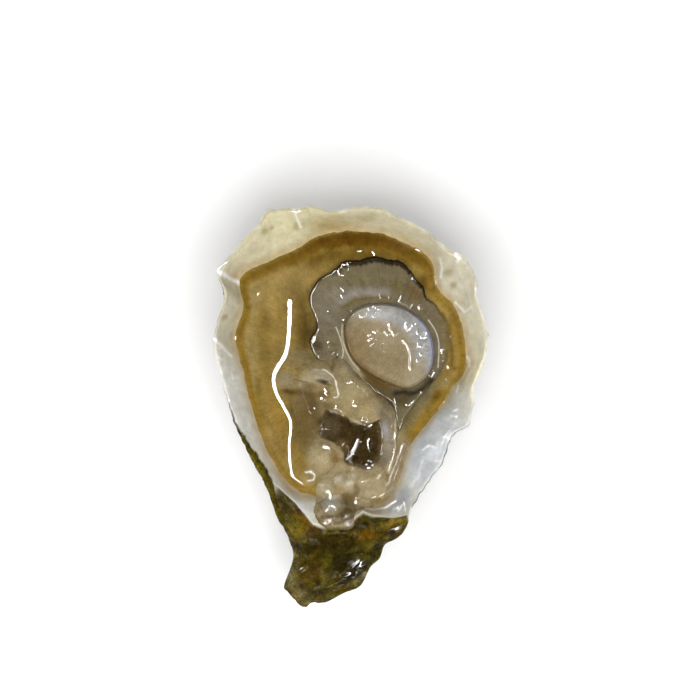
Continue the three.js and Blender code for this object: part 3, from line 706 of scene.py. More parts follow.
# Brown specks on the lining: place and reach.
NACRE_SPECKS = [
    ((-21.4, 43.6), 1.0), ((-19.6, 44.4), 0.7), ((-13.4, 44.8), 0.9), ((25.4, 30.4), 0.9),
    ((-31.6, 22.2), 0.8), ((24.0, 33.5), 1.2),
]
PLATE_TINTS = [
    (0.9, (-11.6, -29.0), (3.0, 1.6, -40), (98, 70, 18)), (0.9, (-9.6, -32.0), (1.8, 1.4), (76, 54, 16)),
    (0.8, (-13.8, -30.4), (2.2, 3.0, 20), (112, 98, 24)), (0.95, (4.2, -32.6), (3.4, 2.0), (96, 69, 10)),
    (0.9, (10.4, -29.4), (3.0, 1.2, 20), (116, 98, 34)), (0.9, (9.0, -27.7), (3.6, 0.7), (52, 46, 30)),
    (0.95, (-4, -34.5), (6.5, 3.4), (48, 39, 12)), (0.9, (-1.6, -39.6), (4.4, 3.4, 20), (40, 34, 12)),
    (0.9, (7.2, -35.4), (3.6, 1.1, 38), (40, 35, 15)), (0.7, (4.6, -34.9), (2.4, 1.1, 20), (84, 76, 24)),
    (0.9, (2.6, -40.6), (4.6, 1.2, 28), (34, 29, 20)), (0.85, (0.4, -43.4), (4.6, 0.7, 25), (36, 31, 22)),
    (0.75, (3.6, -43.0), (3.4, 0.9, 30), (122, 114, 78)), (0.7, (-6.5, -43.6), (1.3, 4.2), (88, 80, 30)),
    (0.9, (-7.8, -47.2), (2.0, 1.8), (54, 46, 22)), (0.8, (-9.0, -41.0), (2.4, 1.8), (72, 52, 18)),
    (0.8, (-14.4, -43.6), (1.5, 3.6), (104, 96, 54)), (0.8, (-12.6, -47.4), (2.2, 1.6, -45), (104, 95, 56)),
    (0.7, (-5, -48.4), (3.4, 0.9, 10), (98, 90, 48)), (0.8, (-12.6, -45.4), (0.5, 1.7, 35), (46, 40, 22)),
    (0.8, (-17, -24), (1.6, 6, 30), (66, 56, 24)), (0.8, (-16.6, -31), (1.3, 4, 12), (62, 52, 22)),
    (1.0, (-11.4, -49.4), (2.4, 1.6), (94, 86, 46)),
]
CRUST = (66, 57, 14)
# Patches of olive, brown, near black and cream on the crust.
CRUST_BLOTCHES = [
    (1, -0.1, 0.5, 31, 7, 4, (98, 88, 20)), (1, -0.05, -0.5, 31, 7, 4, (88, 62, 14)),
    (1, 0.1, 0.45, 61, 4, 4, (36, 30, 12)), (0.75, 0.3, 0.7, 91, 2.2, 3, (134, 122, 66)),
    (0.6, -0.25, -0.6, 121, 1.3, 3, (36, 30, 12)),
]
# How far the growth layers may pass the edge, and how wet the lining and the crust look.
EDGE_OVERHANG, LINING_FILM, CRUST_FILM = 0.25, 0.05, 0.02


def scalloped_edge():
    """The edge at equal steps, with the small chips and scallops of a real one: x, y, radius and angle."""
    line = np.vstack([edge_curve, edge_curve[:1]])
    run = np.concatenate([[0], np.cumsum(np.hypot(*np.diff(line, axis=0).T))])
    at = np.linspace(0, run[-1], SHELL_AROUND, endpoint=False)
    x, y = (np.interp(at, run, values) for values in line.T)
    radius, angle = polar(x, y, CUP_CENTRE)
    around = placed((0, 0), 48, angle)
    chips = 0.34 * noise(*around, 3.1, 2.6) - 0.22 * np.abs(noise(*around, 9.1, 1.5))
    radius = radius + chips - 0.1 + 0.6 * smooth(-40, -48, y)
    return *placed(CUP_CENTRE, radius, angle), radius, angle


def lining_relief(x, y):
    """The soft waves, fine rays and wet creases of the lining."""
    soft = 0.2 * rough(x, y, 2.0, 7.0, 3) + 0.03 * rough(x, y, 5.0, 1.4, 2)
    radius, angle = polar(x, y, CUP_CENTRE)
    rays = 0.05 * noise(angle * 30, radius * 0.12, 0.0, 1.0)
    return soft + rays + ridges(x, y, CREASES) + crumples(x, y, LINING_CRUMPLES)


def shell_inside(edge_radius, angle):
    """The inside, in rings from the middle of the cup almost to the edge: its corners, their radius, the
    share of the rough plate that lies behind them and the plate's width."""
    water = water_at(angle)
    lining = np.minimum(lining_at(angle)[0], edge_radius - 0.3)
    width = edge_radius - lining
    cup = np.concatenate([np.linspace(0.2, 0.86, 3), np.linspace(0.92, 1.0, 5)])[:, None] * water
    wall = mix(water, lining, np.linspace(0, 1, 39)[1:, None])
    plate = mix(lining, edge_radius, np.linspace(0, 1, 50)[1:-1, None])
    radius = np.vstack([cup, wall, plate])
    x, y = placed(CUP_CENTRE, radius, angle)
    e = clamp((radius - lining) / width)
    on_wall = smooth(0.97, 1.03, radius / water) * smooth(0.4, 0.0, e)
    z = inside_height(x, y) + lining_relief(x, y) * on_wall * smooth(0, 1.5, edge_radius - radius)
    # The rough plate: growth lines that follow the edge, broken by pits.
    lines = sawtooth(e * 8 + 1.4 * rough(x, y, 4.0, 7.0, 4)) - 0.4
    pits = 0.42 * rough(x, y, 12.0, 2.4, 4)
    z = z + smooth(2, 10, width) * smooth(0, 0.12, e) * (0.14 * lines * smooth(1, 0.85, e) + pits)
    return (x, y, z), radius, e, width + 0 * e


def shell_outside(edge_x, edge_y):
    """The outside, in rings from the edge to the beak: its corners and their share of the way to the edge."""
    shares = np.concatenate([[0.996, 0.99, 0.982], np.linspace(0.974, 0.3, 54), np.linspace(0.27, 0.04, 5)])
    x, y = mix(BEAK[0], edge_x, shares[:, None]), mix(BEAK[1], edge_y, shares[:, None])
    z = outside_height(x, y)
    slope_x = outside_height(x + 0.5, y) - outside_height(x - 0.5, y)
    slope_y = outside_height(x, y + 0.5) - outside_height(x, y - 0.5)
    share = shares[:, None] + 0 * x
    reach, turn = polar(edge_x, edge_y, BEAK)
    scales = 0.5 * sawtooth(share * 26 + 1.6 * rough(x, y, 3.0, 9.0, 3)) + 0.45 * rough(x, y, z, 3.0, 4)
    relief = growth_relief(share, turn, reach) + scales * smooth(1.0, 0.93, share)
    # It stands out everywhere, so that it never shows through the thin wall.
    relief = np.maximum(0.0, relief) / np.sqrt(slope_x**2 + slope_y**2 + 1)
    x, y, z = x + relief * slope_x, y + relief * slope_y, np.maximum(0.0, z - relief)
    # It passes the edge by no more than the overhang.
    radius, angle = polar(x, y, CUP_CENTRE)
    most = seen_from(CUP_CENTRE, np.stack([edge_x, edge_y], -1))(angle) + EDGE_OVERHANG
    held = np.minimum(1.0, most / radius)
    return (mix(CUP_CENTRE[0], x, held), mix(CUP_CENTRE[1], y, held), z), share


def nacre_colours(x, y):
    """The lining: cream, bluish white at the lower right, and golden along the flesh."""
    wx, wy = x + 1.2 * rough(x, y, 1.0, 6.0), y + 1.2 * rough(x, y, 8.0, 6.0)
    c = painted(plain(x, (204, 198, 176)), wx, wy, NACRE_TINTS)
    c = blotched(c, x, y, [(0.45, 0.2, 0.9, 4, 5, 4, (186, 174, 138))])
    past_flesh = share_and_angle(x + lean(y), y, CUP_CENTRE, water_at)[0]
    c = paint(c, 0.6 * smooth(1.07, 1.0, past_flesh + 0.02 * noise(x, y, 7.0, 3.0)), rgb(174, 150, 98))
    c = painted(c, wx, wy, [(0.6, at, (reach, reach), (150, 128, 78)) for at, reach in NACRE_SPECKS])
    # White strokes along the creases of the lining: painted highlights, brightest on the first crease.
    c = painted(c, x, y, [(0.8, line, 0.7 * width, (246, 246, 240)) for line, width in CREASES])
    return painted(c, x, y, [(0.9, CREASES[0][0], 0.4, (255, 255, 252))])


def plate_colours(tint, x, y, within):
    """The hinge plate: orange brown and dark patches on olive."""
    wx, wy = x + 0.9 * rough(x, y, 41.0, 3.0), y + 0.9 * rough(x, y, 51.0, 3.0)
    return painted(tint, wx, wy, PLATE_TINTS, within)


def shell_film(corners, x, y, outside, on_plate):
    """How wet the shell looks: most on the creases of the lining and on the drops on the plate."""
    creased = smooth(0.02, 0.1, ridges(corners[:, 0], corners[:, 1], CREASES))
    creased = creased * (1 - 0.75 * spot(x, y, (19, -14), 14))
    drops = sum(spot(x, y, at, reach, 0.6 * reach, 25) for at, reach in PLATE_DROPS)
    inside = LINING_FILM * (1 - on_plate) + on_plate * (CRUST_FILM + drops)
    return np.where(outside > 0, CRUST_FILM, np.maximum(inside, creased))


def shell_looks(corners, outside, e, width, from_edge, way_out):
    """The shell's tint, how wet it looks and how crusty it is. It is given, for each corner, whether it is
    outside, the share of the rough plate that lies behind it, the plate's width, the distance from the edge
    and the share of the way out from the beak."""
    x, y = corners[:, 0] - lean(corners[:, 1]), corners[:, 1]
    # The bare edge is white round the wide end, and shows the dark outside along the lower left.
    lower_left = smooth(8, -6, y) * smooth(-6, -12, x)
    least = mix(2, 1, smooth(-20, -24, y) * smooth(8, 11, x))
    on_plate = smooth(least, 2.5 * least, width) * smooth(0.0, 0.06, e + 0.02 * rough(x, y, 0, 3.0))
    dark_from = from_edge - 0.5 - 1.9 * smooth(0, -22, y) - 0.5 * rough(x, y, 3.0, 2.5)
    strip = lower_left * smooth(0.3, -0.3, dark_from)
    fresh = smooth(0.9, 0.995, way_out) * (1 - lower_left)
    crusty = np.where(outside > 0, 1 - 0.75 * fresh * smooth(-25, -15, y), np.maximum(on_plate, strip))
    # A patchy pale strip along the bare edge of the lining: a painted highlight.
    rim = smooth(0.9, 0.2, from_edge) * (1 - outside) * smooth(-0.2, 0.4, rough(x, y, 15.0, 5.0, 2))
    nacre = paint(nacre_colours(x, y), 0.7 * rim, rgb(240, 238, 228))
    tint = mix(nacre, blotched(plain(x, CRUST), x, y, CRUST_BLOTCHES), clamp(crusty)[:, None])
    tint = plate_colours(tint, x, y, np.where(outside > 0, 0, on_plate))
    tint = paint(tint, 0.3 * outside * smooth(1.0, 0.5, fresh), rgb(88, 78, 54))
    wet = shell_film(corners, x, y, outside, on_plate)
    return tint, wet, np.where(outside > 0, 1.0, clamp(crusty))


def shell_material():
    return node_material(
        "shell", [
            (2.2, 0.86, 1.1, 6, False), (0.5, 0.94, 1.05, 2, False), (1.5, 0.45, 1.5, 6, False, "crust"),
            (0.45, 0.6, 1.35, 4, False, "crust"),
        ],
        [(0.9, 0.1, 5, False), (1.6, 0.5, 6, False, "crust")], roughness=0.5, rough_range=0.06, ior=1.45,
        coat_roughness=0.06, subsurface=0.06, radius=(1.0, 0.6, 0.4), depth=0.0012,
    )


def per_corner(middle, inside, edge, outside, tip):
    """One value for each corner of the shell, in the order of its corner list."""
    return np.concatenate([[middle], inside.ravel(), edge + np.zeros(SHELL_AROUND), outside.ravel(), [tip]])


def shell():
    ex, ey, edge_radius, angle = scalloped_edge()
    inside, radius, e, width = shell_inside(edge_radius, angle)
    edge = ex, ey, edge_height(ex, ey) + 0.18 * noise(ex, ey, 2.0, 2.0) - 0.25
    outside, way_out = shell_outside(ex, ey)
    tip_x, tip_y = BEAK[0], BEAK[1] + 1
    tip = tip_x, tip_y, height_at(outside_height, (tip_x, tip_y))
    corners = stack((*CUP_CENTRE, SHELL_FLOOR), [inside, edge, outside], tip)
    faces = outward(corners, ring_faces(len(radius) + 1 + len(way_out), SHELL_AROUND))
    tint, wet, crust = shell_looks(
        corners,
        outside=per_corner(0, 0 * radius, 1, 1 + 0 * way_out, 1),
        e=per_corner(0, e, 1, 1 + 0 * way_out, 1),
        width=per_corner(0, width, width[0], 0 * way_out, 0),
        from_edge=per_corner(30, edge_radius - radius, 0, 0 * way_out, 0),
        way_out=per_corner(1, 1 + 0 * radius, 1, way_out, 0),
    )
    make_piece("shell_valve", "shell", corners, faces, tint, shell_material(), "shell", wet=wet, crust=crust)


# ------------------------------------------------------------------ mantle


def film(name, speckles, bumps, grain=None, subsurface=0.2, depth=0.0015):
    """The common look of wet flesh: soft inside, with a clear coat of liquor."""
    fine = (0.45, 0.86, 1.14, 4, False)
    return node_material(name, [*speckles, fine], bumps, grain=grain, subsurface=subsurface, depth=depth)


# Short raised lines where the wet skin puckers: a line and its width.
MANTLE_LINES = [
    ([(-29.9, 17.1), (-28.2, 16), (-27.9, 18.3)], 0.35), ([(-16.4, 39.2), (-13.6, 38.6)], 0.4),
    ([(8, 44), (6.9, 42.6)], 0.35), ([(13.4, 41.4), (15.6, 40.4), (17, 38.6)], 0.38),
    ([(19.6, 34.9), (19.8, 33.9), (20.4, 33.6)], 0.42), ([(-25.1, 29.1), (-23.2, 27.7)], 0.36),
    ([(25.5, 25.7), (25.7, 23.4), (25.2, 21.9)], 0.32), ([(25.4, 19.4), (25.5, 16.6)], 0.28),
    ([(27.9, 15.3), (27.9, 13.8)], 0.3), ([(22.3, 25.6), (23.2, 24.4)], 0.3),
    ([(23.8, 5.8), (24.5, 5.7), (24.4, 4.8)], 0.28), ([(24.6, 9.2), (25.6, 9.8)], 0.28),
    ([(5.4, 39.3), (5.9, 38.6), (6.4, 37.6), (6, 36.4)], 0.42), ([(2.3, 39.4), (2.5, 38.6)], 0.3),
    ([(1.5, 39.3), (1.7, 38.6)], 0.28), ([(12.2, 36.9), (13, 34.9), (15.2, 33.1)], 0.4),
    ([(13.2, -9.6), (12.2, -12.8), (10.8, -15.8), (9.8, -18.9)], 0.3),
]
MANTLE_CRUMPLES = [(12.5, 39.8, 2.4, 0.07, 1.2), (19.6, 31, 2, 0.07, 1.1), (21.8, 1.6, 2, 0.08, 1.2)]
AMBER, GOLD, DARK_GOLD = (146, 122, 66), (143, 114, 42), (90, 64, 16)
# A hook-shaped painted highlight, used on the mantle and on the body.
HOOK_HIGHLIGHT = open_line([(-11.3, -16.7), (-10.0, -16.6), (-9.0, -17.6), (-9.3, -19.0), (-10.6, -19.2)], 4)
MANTLE_TINTS = [
    (1, (-19, 30), (9, 6, 35), (154, 131, 76)), (0.7, (-13, 36), (6, 2.5, 25), (148, 124, 72)),
    (0.6, (-13.5, 29.4), (4.4, 2.6), (118, 99, 56)), (0.8, (-25, 25), (1.6, 6, -8), (152, 136, 88)),
    (0.6, (-21.5, 17), (1.3, 9), (122, 100, 46)), (0.7, (-18.2, 19), (1.8, 8), (148, 124, 64)),
    (0.6, (-24.6, 12), (1.4, 8), (156, 138, 88)),
    # A dark brown stroke beside the gills' left edge: painted shadow.
    (0.9, [(-11.4, 22), (-11.4, 18.6), (-12, 13)], 1.6, (72, 54, 19)),
    (0.7, [(-12, 26), (-12.6, 19), (-13, 12)], 1.6, (98, 79, 32)),
    (0.9, (-11, 11.2), (6.4, 3.2, -10), (126, 111, 76)), (0.9, (-6, 9.8), (3.4, 2.8), (122, 107, 74)),
    (0.9, [(-9, 36.8), (2, 38.2), (10, 38.6), (16, 36)], 2.6, (100, 78, 25)),
    (0.5, [(4, 39), (9, 39.2), (14, 37.6)], 0.9, (142, 112, 44)),
    (0.9, (17.4, 34.4), (2.6, 3.4, -30), (148, 124, 62)), (0.9, (18.6, 31.1), (1.8, 1.4), (98, 72, 22)),
    (0.9, [(20.1, 29.9), (23.3, 28), (26.3, 25.4)], 0.9, (124, 94, 26)),
    (0.9, (22.4, 26.4), (3.4, 1.8, -40), (160, 134, 64)),
    (0.9, [(17.6, 26.9), (20.2, 24.6), (23.6, 22)], 0.6, (96, 70, 18)),
    (0.8, [(24.8, 20), (25.4, 15), (25.4, 10)], 0.6, (108, 82, 26)),
    (0.8, (27.4, 12), (1.4, 3), (150, 124, 58)),
    (0.7, [(25.2, 9), (27, 9.4), (29, 10.2)], 0.5, (112, 82, 22)),
    (0.9, [(20.6, 4.6), (17.4, 0.4), (14.4, -4.4)], 2, (124, 114, 84)),
    (0.9, [(24.6, 6), (21.9, 1), (18, -3.6), (14.8, -7.6)], 1.1, (140, 113, 42)),
    (0.8, (23.8, 5.2), (1.6, 1.6), (164, 148, 96)), (0.9, (21.9, 2.2), (2, 1.2, 50), (112, 84, 20)),
    (0.9, (14.6, -2.6), (1.8, 5, -30), (118, 106, 68)), (1, (-12, -4), (4.8, 9, 12), (104, 87, 49)),
    (0.9, (-18, -3), (2.4, 9, 16), (150, 122, 58)), (0.8, (-12.9, -15.4), (1.4, 3.6, 5), (148, 121, 56)),
    (0.8, (-15.8, -17), (2.4, 4, 20), (156, 134, 76)),
    (0.7, [(-27.4, 12), (-25.4, 3), (-22.9, -4.6), (-20.2, -11.6)], 0.9, (150, 117, 36)),
    (0.5, [(-23.6, 6), (-22.4, -1), (-19.4, -8), (-17, -13)], 0.8, (122, 94, 34)),
    (0.3, [(-20.6, 22), (-20.4, 12), (-21.2, 4)], 0.8, (124, 100, 46)),
    (0.35, [(-18.2, 3), (-16.8, -6), (-16.4, -12)], 0.6, (130, 104, 46)),
    (0.5, (-22.8, -8), (1, 8, 24), (164, 140, 84)), (0.8, (-19.6, 6.4), (0.8, 1), (104, 74, 26)),
    (0.6, (-20.6, -8.4), (1.6, 4, 24), (160, 138, 86)),
    (0.5, [(-26.2, 20), (-26, 12), (-24.4, 4)], 0.7, (164, 144, 94)),
    # The dark strip at (-15.2, 3.4) is painted shadow under the body's left fold.
    (0.9, (-16.4, 6.2), (2.2, 2.4), (150, 137, 106)), (0.9, (-15.2, 3.4), (2.4, 0.8, -6), (88, 66, 32)),
    (1, [(-3, 11.6), (0.2, 9.4), (3.4, 6), (7.2, 2), (10.6, -0.4), (12, -6),
     (11.4, -12)], 1, (150, 139, 112)),
    (1, [(-9.6, -16.8), (-3, -17.4), (4, -17.6), (9.4, -16.6)], 1.3, (142, 127, 92)),
    (1, [(13.6, -9.4), (12.4, -13), (11, -17), (9.8, -21), (6, -24.6)], 1.9, (140, 125, 94)),
    (0.8, [(15.8, -9.6), (14.4, -13.6), (12.8, -18), (10.6, -22.6)], 0.7, (166, 158, 140)),
    (0.8, (-10.6, -19.6), (2.2, 2.4), (156, 138, 92)), (0.5, (-22, -9), (2.4, 9, 26), (160, 134, 76)),
    # Painted highlights: the hook, and the long thin line beside the body's right side.
    (1, HOOK_HIGHLIGHT, 0.2, (252, 250, 240)),
    (0.7, open_line([(13.3, -9.6), (12.3, -12.8), (10.9, -15.8), (9.9, -18.9),
     (9.2, -20.6)], 4), 0.22, (226, 220, 200)),
]
# How wet the flesh looks between its lines, and the muscle, and the gland and the palps.
FLESH_FILM, MUSCLE_FILM, HEAP_FILM = 0.04, 0.2, 0.05
# The gap under the flesh, what is left of the mantle under the muscle, and how deep its margin and the
# underside of its margin dip into the lining.
FLESH_GAP, UNDER_MUSCLE, MARGIN_SINKS, MARGIN_UNDERSIDE = 0.15, 0.35, 0.3, 0.35
# The crest's line, evened out: a point is the mean of the seven around it.
CREST_LINE = open_line([(-14.8, 31.4), *CREST, (-9.4, -21.2)], 6)
CREST_LINE[3:-3] = sum(np.roll(CREST_LINE, k, 0) for k in range(-3, 4))[3:-3] / 7
CREST_STEPS = 30
CREST_MIDDLE, CREST_RISE, CREST_BLEND = 1.5, 2.5, 5
# From the top of the crest outwards: how steep its left flank is, and how far it has fallen.
FLANK = np.linspace(0, 12, 241)
FLANK_SLOPE = 0.53 * smooth(0.2, 1.3, FLANK) - 0.2 * smooth(1.8, 2.3, FLANK)
FLANK_FALL = np.concatenate([[0], np.cumsum((FLANK_SLOPE[1:] + FLANK_SLOPE[:-1]) / 2) * FLANK[1]])
# Its back, on the right: a slope that starts softly and then steepens.
BACK_SLOPE, BACK_SOFT, BACK_STEEPENS, BACK_BEND = 0.36, 0.8, 2.0, 0.08


def dish_level(x, y):
    share = share_and_angle(x, y, CUP_CENTRE, water_at)[0]
    return mix(DISH_LEVEL, POOL_LEVEL, smooth(0.35, 1, share))


def crest_width(along):
    """The crest gets narrower towards the hinge."""
    return mix(0.95, 0.45, smooth(0.1, 1, along))


def crest_height(away, along, side):
    """The crest, from the distance to its line, the share of the way along it and the side."""
    width = crest_width(along)
    out = (CREST_MIDDLE * width - side * away) / width
    flank = np.where(out > 0, np.interp(out, FLANK, FLANK_FALL) * width, 0)
    back = np.maximum(0, -out * width)
    back_fall = BACK_SLOPE * (back - BACK_SOFT * (1 - np.exp(-back / BACK_SOFT)))
    fall = flank + back_fall + BACK_BEND * np.maximum(0, back - BACK_STEEPENS) ** 2
    points = CREST_LINE[np.linspace(0, len(CREST_LINE) - 1, CREST_STEPS).astype(int)]
    foot = np.interp(along, np.linspace(0, 1, CREST_STEPS), dish_level(*points.T))
    ends = smooth(0, 0.16, along) * smooth(1, 0.95, along)
    return foot + CREST_RISE * ends - fall


def mantle_height(x, y):
    """The upper side of the mantle: a dish with low folds and one high crest, thin at its margin."""
    share, angle = share_and_angle(x, y, CUP_CENTRE, water_at)
    away, along, side = distance(x, y, CREST_LINE)
    past_crest = smooth(2.2, 5.0, away)
    thin = inside_height(x, y) + 0.06 + 0.4 * smooth(1, 0.8, share)
    folds = folded(MANTLE_FOLDS, x, y) * smooth(1, 0.8, share)
    dish = dish_level(x, y) + 0.12 * bump(share, 0.88, 0.07) + folds
    uneven = 0.12 * rough(x, y * 0.5, 3.0, 4.0, 3) + 0.03 * rough(x, y, 9.0, 1.3, 2)
    dish = dish + uneven * mix(0.1, 1, past_crest)
    dish = dish + 0.04 * noise(angle * 55, share * 4, 1.0, 1.0) * smooth(0.72, 0.9, share)
    dish = dish + ridges(x, y, MANTLE_LINES) + crumples(x, y, MANTLE_CRUMPLES)
    crest = crest_height(away, along, side)
    dish = np.logaddexp(CREST_BLEND * dish, CREST_BLEND * crest) / CREST_BLEND
    return np.maximum(thin, mix(dish, thin, smooth(0.93, 1, share)))


def ground_height(x, y):
    """What the organs lie on: the mantle, or the bare wall past it."""
    share = share_and_angle(x, y, CUP_CENTRE, water_at)[0]
    return np.where(share < 1, mantle_height(x, y), inside_height(x, y) + FLESH_GAP)


def thin_film(x, y):
    """The film between the wet lines, thinnest a few millimetres from the crest, where it would shine in
    lines that the photo doesn't show."""
    return FLESH_FILM * (1 - 0.95 * bump(distance(x, y, CREST_LINE)[0], 3.4, 2.2))


def mantle_film(x, y):
    """Full film on the crest's left flank and on the puckered lines, and hardly any elsewhere."""
    away, along, side = distance(x, y, CREST_LINE)
    out = -side * away / crest_width(along)
    on_flank = smooth(-1.7, -1.2, out) * smooth(1.5, 1.0, out)
    flank = on_flank * smooth(0.084, 0.088, along) * smooth(0.982, 0.97, along)
    base = thin_film(x, y) * (1 - spot(x, y, CREST[0], 3.0))
    return np.maximum(shine(x, y, base, MANTLE_LINES, MANTLE_CRUMPLES), flank)


def golden_margin(angle, edge):
    """The golden margin, as a mask, and how near a direction is to the wide end, where it is darkest. It is
    left out at the hinge and pale in three places."""
    top = bump(degrees_apart(angle, 88), 0, 42)
    bare = smooth(-40, -52, np.degrees(angle)) * smooth(-112, -96, np.degrees(angle))
    pale = sum(
        strength * bump(degrees_apart(angle, at), 0, width)
        for strength, at, width in ((0.5, 218, 22), (0.7, 42, 10), (0.5, -5, 8))
    )
    band = smooth(mix(0.9, 0.86, top), mix(0.945, 0.915, top), edge)
    return band * mix(0.85, 1, top) * (1 - bare) * (1 - pale), top


def mantle_colours(x, y):
    wx, wy = wandering(x, y, 71.0, 4.0, 0.8)
    c = painted(plain(x, AMBER), wx, wy, MANTLE_TINTS)
    share, angle = share_and_angle(x, y, CUP_CENTRE, water_at)
    edge = share + 0.012 * noise(wx, wy, 3.0, 4.0) + 0.012 * noise(x, y, 3.0, 1.2)
    band, top = golden_margin(angle, edge)
    c = paint(c, band, rgb(*GOLD))
    c = paint(c, 0.95 * band * top, rgb(*DARK_GOLD))
    return paint(c, 0.35 * smooth(0.97, 0.995, edge), rgb(160, 136, 80))


muscle_at = seen_from(MUSCLE_CENTRE, closed_line(MUSCLE))


def mantle(around=600):
    runs = [(0.06, 0.4, 14), (0.41, 0.93, 88), (0.934, 1.006, 26)]
    shares = np.concatenate([np.linspace(*run) for run in runs])
    x, y, share, _ = rings_round(CUP_CENTRE, water_at, shares, around)
    # The margin is uneven, by less than half a millimetre.
    waver = 1 + 0.014 * rough(x, y, 2.0, 2.6, 3) * smooth(0.9, 0.99, share)
    x, y = mix(CUP_CENTRE[0], x, waver), mix(CUP_CENTRE[1], y, waver)
    # Under the muscle only a film of it is left.
    radius, angle = polar(x, y, MUSCLE_CENTRE)
    under_muscle = radius < muscle_at(angle) + 0.2
    z = np.where(under_muscle, inside_height(x, y) + UNDER_MUSCLE, mantle_height(x, y))
    # The margin dips into the lining, so that it shows no cut side.
    z = z - MARGIN_SINKS * smooth(0.984, 1.006, share)
    ux, uy, under, _ = rings_round(CUP_CENTRE, water_at, [0.98, 0.9, 0.75, 0.55, 0.3], around)
    uz = inside_height(ux, uy) + mix(FLESH_GAP, -MARGIN_UNDERSIDE, smooth(0.85, 0.96, under))
    top, bottom = height_at(mantle_height, CUP_CENTRE), SHELL_FLOOR + FLESH_GAP
    corners = stack((*CUP_CENTRE, top), [(x, y, z), (ux, uy, uz)], (*CUP_CENTRE, bottom))
    faces = outward(corners, ring_faces(len(shares) + 5, around))
    radius, angle = polar(corners[:, 0], corners[:, 1], CUP_CENTRE)
    grain = np.stack([angle * 24, radius * 0.35, corners[:, 2] * 0], -1)
    speckles = [(3.0, 0.8, 1.16, 5, False), (0.8, 0.86, 1.1, 3, True)]
    look = film("mantle", speckles, [(0.7, 0.03, 4, True)], grain="grain", depth=0.0014)
    tint = mantle_colours(corners[:, 0], corners[:, 1])
    wet = mantle_film(corners[:, 0], corners[:, 1])
    make_piece("mantle_skirt", "mantle", corners, faces, tint, look, "mantle", grain=grain, wet=wet)


# ------------------------------------------------------------------ adductor muscle

# The line on the cut face between the soft beige part and the firm bluish part, and finer lines of liquor.
MUSCLE_LINES = [
    ([(9.6, 20.6), (10.4, 18.8), (11.4, 17.4)], 0.4),
    ([(12.6, 16.8), (14.2, 15.3), (15.2, 12.6), (15, 9.9), (15.4, 8.2)], 0.36),
    ([(-0.4, 21.6), (1.2, 23.8)], 0.35), ([(2.2, 22.2), (4.2, 22.8)], 0.3), ([(4.4, 24), (6.4, 24.2)], 0.28),
    ([(5.9, 21.9), (6.6, 23), (7.6, 24)], 0.28), ([(6.2, 16.6), (6.4, 14.4)], 0.3),
    ([(8.1, 15.6), (8.4, 13.2)], 0.3), ([(3.2, 19), (4, 18.6), (4.6, 17.4)], 0.3),
    ([(4.6, 16.6), (5.2, 15)], 0.3), ([(5.2, 18.9), (6.4, 18.2)], 0.28), ([(8.6, 18.6), (9.6, 17.4)], 0.26),
    ([(13.6, 20.8), (14.4, 19), (15.4, 20.4)], 0.28), ([(16, 20.4), (17, 18.8), (16.4, 18)], 0.28),
    ([(17.4, 17.2), (18.6, 17), (18.8, 18.4)], 0.28), ([(16.6, 15), (18.4, 14.8)], 0.26),
    ([(17.4, 12.6), (18.6, 12.8)], 0.26), ([(16.6, 11.4), (17, 10.8)], 0.26),
]
MUSCLE_CRUMPLES = [
    (4.6, 17.4, 2.6, 0.12, 1.1), (13.4, 21, 3, 0.08, 1.1), (17.6, 16, 2.6, 0.08, 1.2),
    (6.5, 23.4, 2.4, 0.08, 1.2),
]
MUSCLE_TINTS = [
    (0.85, (2.4, 15), (3.4, 6, 15), (136, 116, 80)), (0.7, (4.8, 18), (3, 3), (142, 126, 96)),
    (0.8, (9.4, 10.6), (6, 3.4, -30), (140, 124, 92)), (0.7, (15.4, 7), (2.4, 2.4), (162, 150, 124)),
    (0.5, (8, 17.4), (4, 3, 20), (156, 143, 118)),
]
# How far the cut face rises on its upper right, how hollow its middle is and how deep its edge is rounded.
MUSCLE_BULGE, MUSCLE_HOLLOW, MUSCLE_ROUNDING = 0.8, 0.5, 1.4


def muscle_top(x, y):
    """The cut face, raised towards the upper right and a little hollow in its middle."""
    share, angle = share_and_angle(x, y, MUSCLE_CENTRE, muscle_at)
    upper_right = smooth(-0.5, 0.6, facing(angle, 36))
    bulge = MUSCLE_BULGE * upper_right * bump(share, 0.72, 0.26)
    return MUSCLE_TOP + bulge - MUSCLE_HOLLOW * bump(share, 0.1, 0.4)


def muscle_relief(x, y, share, angle):
    """The cut face's uneven ground, its lines and the ends of the fibres on the firm part."""
    lines = (ridges(x, y, MUSCLE_LINES) + crumples(x, y, MUSCLE_CRUMPLES)) * smooth(1.0, 0.9, share)
    firm = smooth(0.55, 0.8, share) * smooth(0.1, 0.7, facing(angle, 40))
    return 0.07 * rough(x, y, 5.0, 2.4, 2) + lines + 0.05 * noise(angle * 26, share * 3, 2.0, 1.0) * firm


def muscle_colours(x, y):
    """Beige, with a bluish white crescent on the upper right and a painted brown shadow on the lower left."""
    share, angle = share_and_angle(x, y, MUSCLE_CENTRE, muscle_at)
    wx, wy = wandering(x, y, 21.0, 2.5, 0.6)
    c = painted(plain(x, (150, 136, 106)), wx, wy, MUSCLE_TINTS)
    crescent = smooth(0.35, 0.7, share + 0.08 * rough(x, y, 2.0, 3.0)) * smooth(0.1, 0.75, facing(angle, 38))
    streaks = 0.5 + 0.5 * noise(angle * 22, share * 3, 4.0, 1.0)
    c = paint(c, 0.9 * crescent, mix(rgb(148, 144, 138), rgb(172, 174, 176), clamp(streaks)[:, None]))
    c = paint(c, 0.9 * spot(wx, wy, (6.6, 23.6), 5.6, 1.9, 4), rgb(188, 188, 188))
    c = paint(c, 0.8 * smooth(0.84, 0.97, share) * smooth(0.2, 0.8, facing(angle, 30)), rgb(148, 156, 182))
    c = paint(c, 0.5 * smooth(0.7, 0.9, share) * smooth(0.2, 0.8, facing(angle, 110)), rgb(140, 132, 112))
    # Brown towards the lower left edge: painted shadow.
    return paint(c, 0.8 * smooth(0.78, 1.0, share) * smooth(0, 0.8, facing(angle, 222)), rgb(110, 82, 36))


